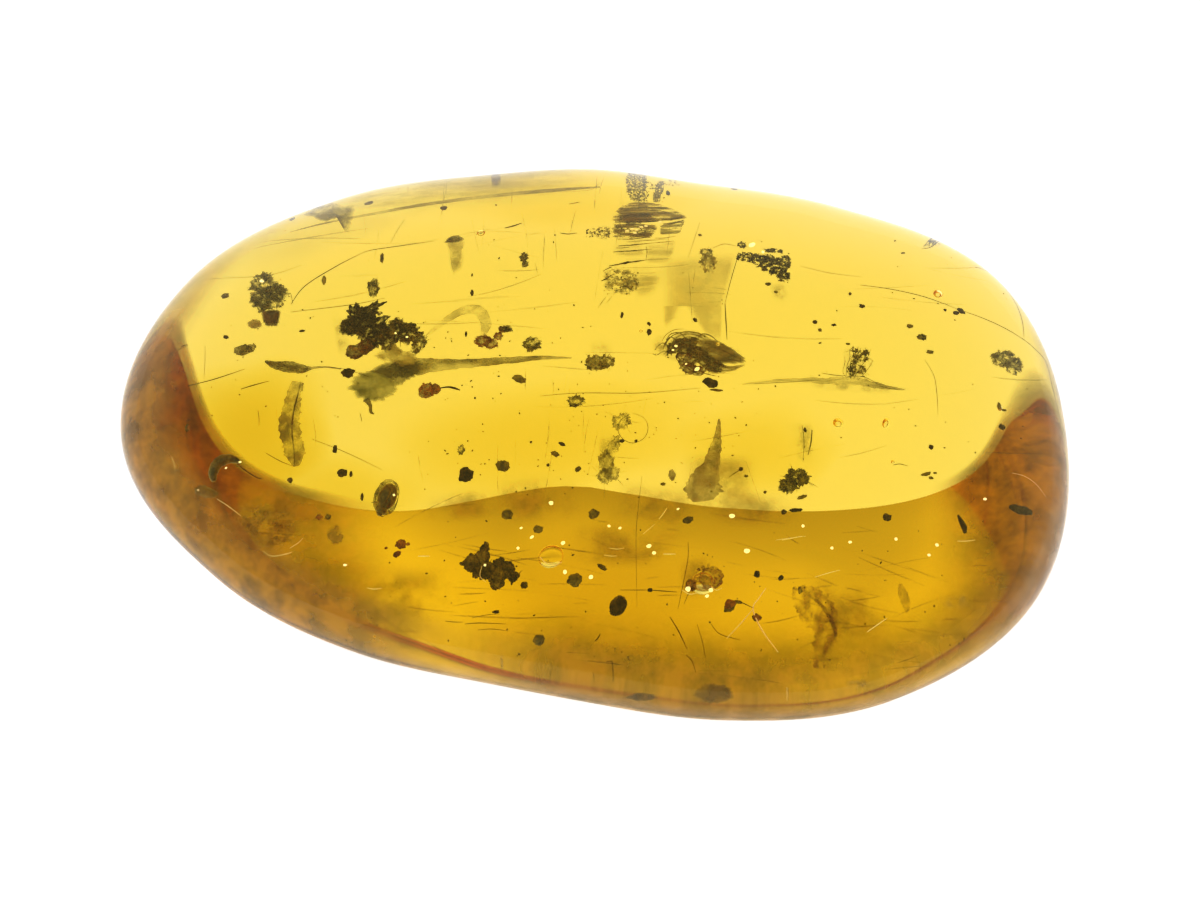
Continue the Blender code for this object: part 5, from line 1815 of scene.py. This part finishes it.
# Hazes: cloudy films over four corners of the view, each side with its own soft share. A haze: tones, noise
# scale, thinning low and high, stretch, then its patches. A patch: height, corners from the upper left
# clockwise, soft share on the left, right, top and bottom.
hazes = {
    "veil": {
        "dark": (0.62, 0.38, 0.03), "light": (0.9, 0.62, 0.1), "scale": 500, "wear": (0.15, 0.27),
        "stretch": 1.0,
        "patches": (
            (5.5, ((655, 256), (738, 251), (723, 306), (661, 306)), (0.3, 0.04, 0.24, 0)),
            (5.5, ((661, 306), (684, 306), (671, 326), (664, 331)), (0.3, 0.55, 0, 0.5)),
            (5.5, ((684, 306), (723, 306), (721, 344), (708, 340)), (0.3, 0.08, 0, 0.3)),
        ),
    },
    "oliveMist": {
        "dark": (0.34, 0.27, 0.05), "light": (0.7, 0.56, 0.14), "scale": 1500, "wear": (0.02, 0.26),
        "stretch": 1.0,
        "patches": (
            (5.1, ((586, 340), (612, 338), (616, 356), (590, 358)), (0.4, 0.4, 0.5, 0.3)),
            (5.2, ((452, 238), (468, 238), (463, 270), (452, 276)), (0.1, 0.4, 0.3, 0.2)),
            (5.0, ((596, 432), (616, 432), (616, 486), (598, 488)), (0.4, 0.4, 0.3, 0.3)),
            (5.0, ((768, 282), (790, 280), (790, 304), (770, 306)), (0.4, 0.4, 0.4, 0.4)),
            (5.4, ((330, 312), (348, 316), (352, 352), (338, 360)), (0.3, 0.5, 0.3, 0.4)),
            (5.1, ((800, 380), (892, 384), (898, 396), (806, 390)), (0.4, 0.2, 0.3, 0.5)),
            (5.1, ((840, 346), (872, 344), (868, 380), (842, 380)), (0.4, 0.4, 0.4, 0.2)),
            (5.1, ((788, 418), (818, 418), (814, 466), (794, 466)), (0.4, 0.4, 0.4, 0.4)),
        ),
    },
    "brownMist": {
        "dark": (0.8, 0.44, 0.01), "light": (1.0, 0.6, 0.03), "scale": 560, "wear": (0.06, 0.4),
        "stretch": 1.0,
        "patches": (
            (4.4, ((480, 476), (580, 470), (590, 524), (490, 530)), (0.4, 0.4, 0.4, 0.4)),
            (4.6, ((676, 452), (764, 452), (756, 520), (690, 520)), (0.3, 0.4, 0.25, 0.35)),
            (4.4, ((610, 478), (706, 486), (700, 532), (606, 532)), (0.3, 0.4, 0.4, 0.4)),
            (4.2, ((256, 476), (306, 486), (316, 548), (270, 544)), (0.4, 0.4, 0.4, 0.4)),
            (4.4, ((800, 570), (900, 580), (890, 664), (816, 660)), (0.25, 0.45, 0.3, 0.4)),
            (5.0, ((676, 556), (716, 552), (724, 596), (680, 602)), (0.3, 0.35, 0.3, 0.4)),
            (4.4, ((700, 486), (800, 490), (810, 530), (704, 530)), (0.4, 0.4, 0.4, 0.4)),
            (4.4, ((420, 492), (500, 484), (510, 520), (420, 528)), (0.4, 0.4, 0.4, 0.4)),
            (4.4, ((560, 520), (700, 520), (700, 570), (560, 570)), (0.4, 0.4, 0.4, 0.4)),
            (4.4, ((300, 560), (480, 560), (480, 640), (330, 620)), (0.4, 0.4, 0.4, 0.4)),
        ),
    },
    "goldCloud": {
        "dark": (0.62, 0.26, 0.01), "light": (1.0, 0.74, 0.22), "scale": 2000, "wear": (0.05, 0.85),
        "stretch": 0.6,
        "patches": (
            (5.2, ((208, 508), (262, 496), (304, 532), (268, 558)), (0.35, 0.35, 0.35, 0.35)),
            (5.3, ((258, 506), (300, 500), (300, 548), (262, 556)), (0.35, 0.35, 0.35, 0.25)),
            (5.3, ((168, 452), (180, 452), (182, 484), (170, 480)), (0.4, 0.4, 0.3, 0.3)),
            (5.3, ((312, 602), (320, 598), (326, 610), (316, 612)), (0.3, 0.3, 0.3, 0.3)),
        ),
    },
    "paleSmear": {
        "dark": (0.9, 0.66, 0.34), "light": (1.0, 0.9, 0.62), "scale": 1600, "wear": (0.0, 0.45),
        "stretch": 1.0,
        "patches": (
            (5.3, ((936, 596), (970, 592), (976, 608), (942, 612)), (0.4, 0.4, 0.4, 0.4)),
            (5.3, ((842, 680), (872, 676), (876, 688), (846, 690)), (0.4, 0.4, 0.4, 0.4)),
            (5.3, ((499, 650), (504, 650), (504, 674), (500, 674)), (0.4, 0.4, 0.2, 0.2)),
            (5.3, ((785, 686), (789, 686), (789, 702), (786, 702)), (0.4, 0.4, 0.2, 0.2)),
            (6.2, ((140, 386), (168, 388), (170, 394), (142, 392)), (0.4, 0.4, 0.4, 0.4)),
        ),
    },
}


def quadPlace(corners, height, soft):
    def placeAt(u, v):
        place = []
        for a, b, c, d in zip(*corners):
            place.append((a * (1 - u) + b * u) * (1 - v) + (d * (1 - u) + c * u) * v)
        fade = 1
        for reach, share in zip((u, 1 - u, v, 1 - v), soft):
            fade *= easeIn(reach / share) if share else 1
        return seenAt(*place, height), Vector((0, 0, -1)), fade

    return placeAt


def makeHazes():
    for name, values in hazes.items():
        mesh = bmesh.new()
        for height, corners, soft in values["patches"]:
            addFilm(mesh, 16, 12, 0.02, quadPlace(corners, height, soft))
        tones = values["dark"], values["light"]
        finish = hazeMaterial(name + "Haze", *tones, values["scale"], values["wear"], values["stretch"])
        makePiece(name, mesh, finish)


makeHazes()
print("hazes laid:", len(hazes))

# Spangles: bright little cracks, and some specks that are painted highlights on the insect, the beetle, the
# larva
# and other crumbs. Specks: place in the view and half size. Streaks: radius and places.
# The specks have a painted glow by the first share, the streaks by the second.
spangles = {
    "glow": (1.2, 0.16), "height": 5.6, "tilt": 22,
    "specks": (
        (551, 503, 0.07), (521, 528, 0.05), (532, 537, 0.07), (518, 548, 0.05), (563, 543, 0.07),
        (591, 577, 0.07), (678, 509, 0.05), (732, 516, 0.09), (747, 551, 0.09), (565, 572, 0.06),
        (609, 526, 0.05), (985, 499, 0.06), (850, 542, 0.06), (896, 539, 0.05), (937, 545, 0.05),
        (929, 555, 0.05), (832, 548, 0.05), (803, 526, 0.05), (345, 565, 0.06), (688, 589, 0.08),
        (711, 590, 0.07), (707, 596, 0.06), (649, 546, 0.07), (654, 553, 0.06), (620, 528, 0.05),
        (676, 346, 0.05), (673, 350, 0.04), (697, 369, 0.09), (686, 364, 0.04), (394, 495, 0.04),
        (485, 565, 0.04), (262, 281, 0.07), (396, 333, 0.05), (407, 337, 0.04), (752, 245, 0.12),
        (763, 252, 0.05), (240, 462, 0.05), (226, 468, 0.04), (198, 490, 0.04),
    ),
    "streaks": (
        (0.022, ((766, 588), (759, 598), (753, 609), (762, 630), (778, 652))),
        (0.016, ((753, 609), (742, 622), (727, 638))),
        (0.022, ((540, 557), (546, 563), (554, 565), (562, 562))),
        (0.022, ((663, 554), (669, 554), (676, 554))), (0.018, ((418, 556), (424, 556), (430, 556))),
        (0.018, ((659, 519), (663, 514), (667, 508))), (0.016, ((782, 540), (792, 538), (802, 536))),
        (0.014, ((957, 541), (966, 541), (975, 540))), (0.012, ((643, 534), (649, 529), (655, 524))),
        (0.012, ((776, 540), (790, 538), (806, 536))), (0.014, ((815, 577), (828, 573), (840, 570))),
        (0.014, ((867, 632), (877, 625), (887, 618))),
        (0.012, ((1012, 473), (1024, 476), (1036, 484), (1046, 497))),
        (0.02, ((172, 457), (175, 468), (174, 479))),
        (0.018, ((263, 551), (272, 556), (286, 554), (292, 552))),
        (0.014, ((290, 548), (298, 543), (303, 538))), (0.012, ((217, 499), (228, 506), (241, 516))),
        (0.012, ((609, 548), (617, 549), (624, 548))), (0.012, ((604, 555), (611, 556), (617, 556))),
        (0.01, ((787, 687), (787, 694), (787, 701))), (0.01, ((482, 566), (480, 576), (486, 582))),
        (0.012, ((367, 588), (374, 589), (382, 588))), (0.014, ((682, 590), (690, 594), (700, 592))),
        (0.012, ((711, 586), (716, 590), (722, 588))),
    ),
}


def makeSpangles():
    mesh = bmesh.new()
    rng = random.Random(77)
    for x, y, size in spangles["specks"]:
        place = seenAt(x, y, spangles["height"])
        turn = (-spangles["tilt"] + rng.uniform(-8, 8), rng.uniform(-10, 10), rng.uniform(0, 40))
        shape = (size, size * rng.uniform(0.7, 1.3), size * 0.25)
        addRock(mesh, place, shape, turn, 0.3, 2.0, rng.randint(1, 999), 2)
    makePiece("spangles", mesh, spangleMaterial("spanglePaintedGlow", spangles["glow"][0]))
    mesh = bmesh.new()
    for radius, places in spangles["streaks"]:
        addThread(mesh, spots(places, spangles["height"]), radius, 6, 6, 0.4)
    makePiece("brightCracks", mesh, spangleMaterial("crackPaintedGlow", spangles["glow"][1]))


makeSpangles()
print("spangles set")

# Dust and faint growth lines, strewn between the corners of each zone (x0, y0, x1, y1)
lineThick = (0.006, 0.012, 0.012, 0.012, 0.006)
strewn = {
    "dust": {
        "finish": ("barkBrown", None), "count": 420,
        "zones": ((200, 230, 1040, 470), (420, 320, 760, 500), (250, 520, 1000, 660)),
        "size": (0.008, 0.03), "heights": (4.6, 6.4),
    },
    "brightLines": {
        "finish": ("leafOlive", (1500, 0.0, 0.22, 0.2, 0.15)), "count": 46,
        "zones": ((560, 260, 1020, 470), (220, 230, 560, 330)), "length": (30, 130), "turn": (2, 6),
        "size": (0.01, 0.026), "heights": (5.0, 6.6),
    },
    "uprightLines": {
        "finish": ("leafOlive", (1500, 0.0, 0.26, 1.0, 0.15)), "count": 40,
        "zones": ((250, 380, 760, 480), (340, 170, 700, 300)), "length": (14, 60), "turn": (88, 8),
        "size": (0.008, 0.022), "heights": (4.6, 5.4),
    },
    "bandLines": {
        "finish": ("barkRed", (1500, 0.0, 0.36, 0.2, 0.15)), "count": 90,
        "zones": ((250, 530, 980, 680), (420, 500, 900, 620)), "length": (14, 90), "turn": (-3, 12),
        "size": (0.006, 0.022), "heights": (4.6, 5.6),
    },
}


def makeStrewn():
    for number, (name, values) in enumerate(strewn.items()):
        rng = random.Random(300 + number)
        mesh = bmesh.new()
        for _ in range(values["count"]):
            x0, y0, x1, y1 = rng.choice(values["zones"])
            x, y = rng.uniform(x0, x1), rng.uniform(y0, y1)
            size, height = rng.uniform(*values["size"]), rng.uniform(*values["heights"])
            if "length" not in values:
                shape = (size * rng.uniform(0.8, 2.0), size, size)
                turn = (0, 0, rng.uniform(0, 180))
                addRock(mesh, seenAt(x, y, height), shape, turn, *fleckShape, rng.randint(1, 999), 1)
                continue
            reach, turn = rng.uniform(*values["length"]) / 2, math.radians(rng.gauss(*values["turn"]))
            bow = rng.uniform(-0.06, 0.06)
            path = []
            for step in (-1, -0.5, 0, 0.5, 1):
                sag = bow * (1 - step * step)
                across = x + reach * step * math.cos(turn) + reach * sag * math.sin(turn)
                down = y - reach * step * math.sin(turn) + reach * sag * math.cos(turn)
                path.append(seenAt(across, down, height))
            wide = (size * 0.2, size, size * 1.2, size, size * 0.2)
            addBlade(mesh, path, wide, lineThick, 4, 6, 0.3, number)
        makeCrumb(name, mesh, *values["finish"])


makeStrewn()
print("dust and lines strewn:", len(strewn))
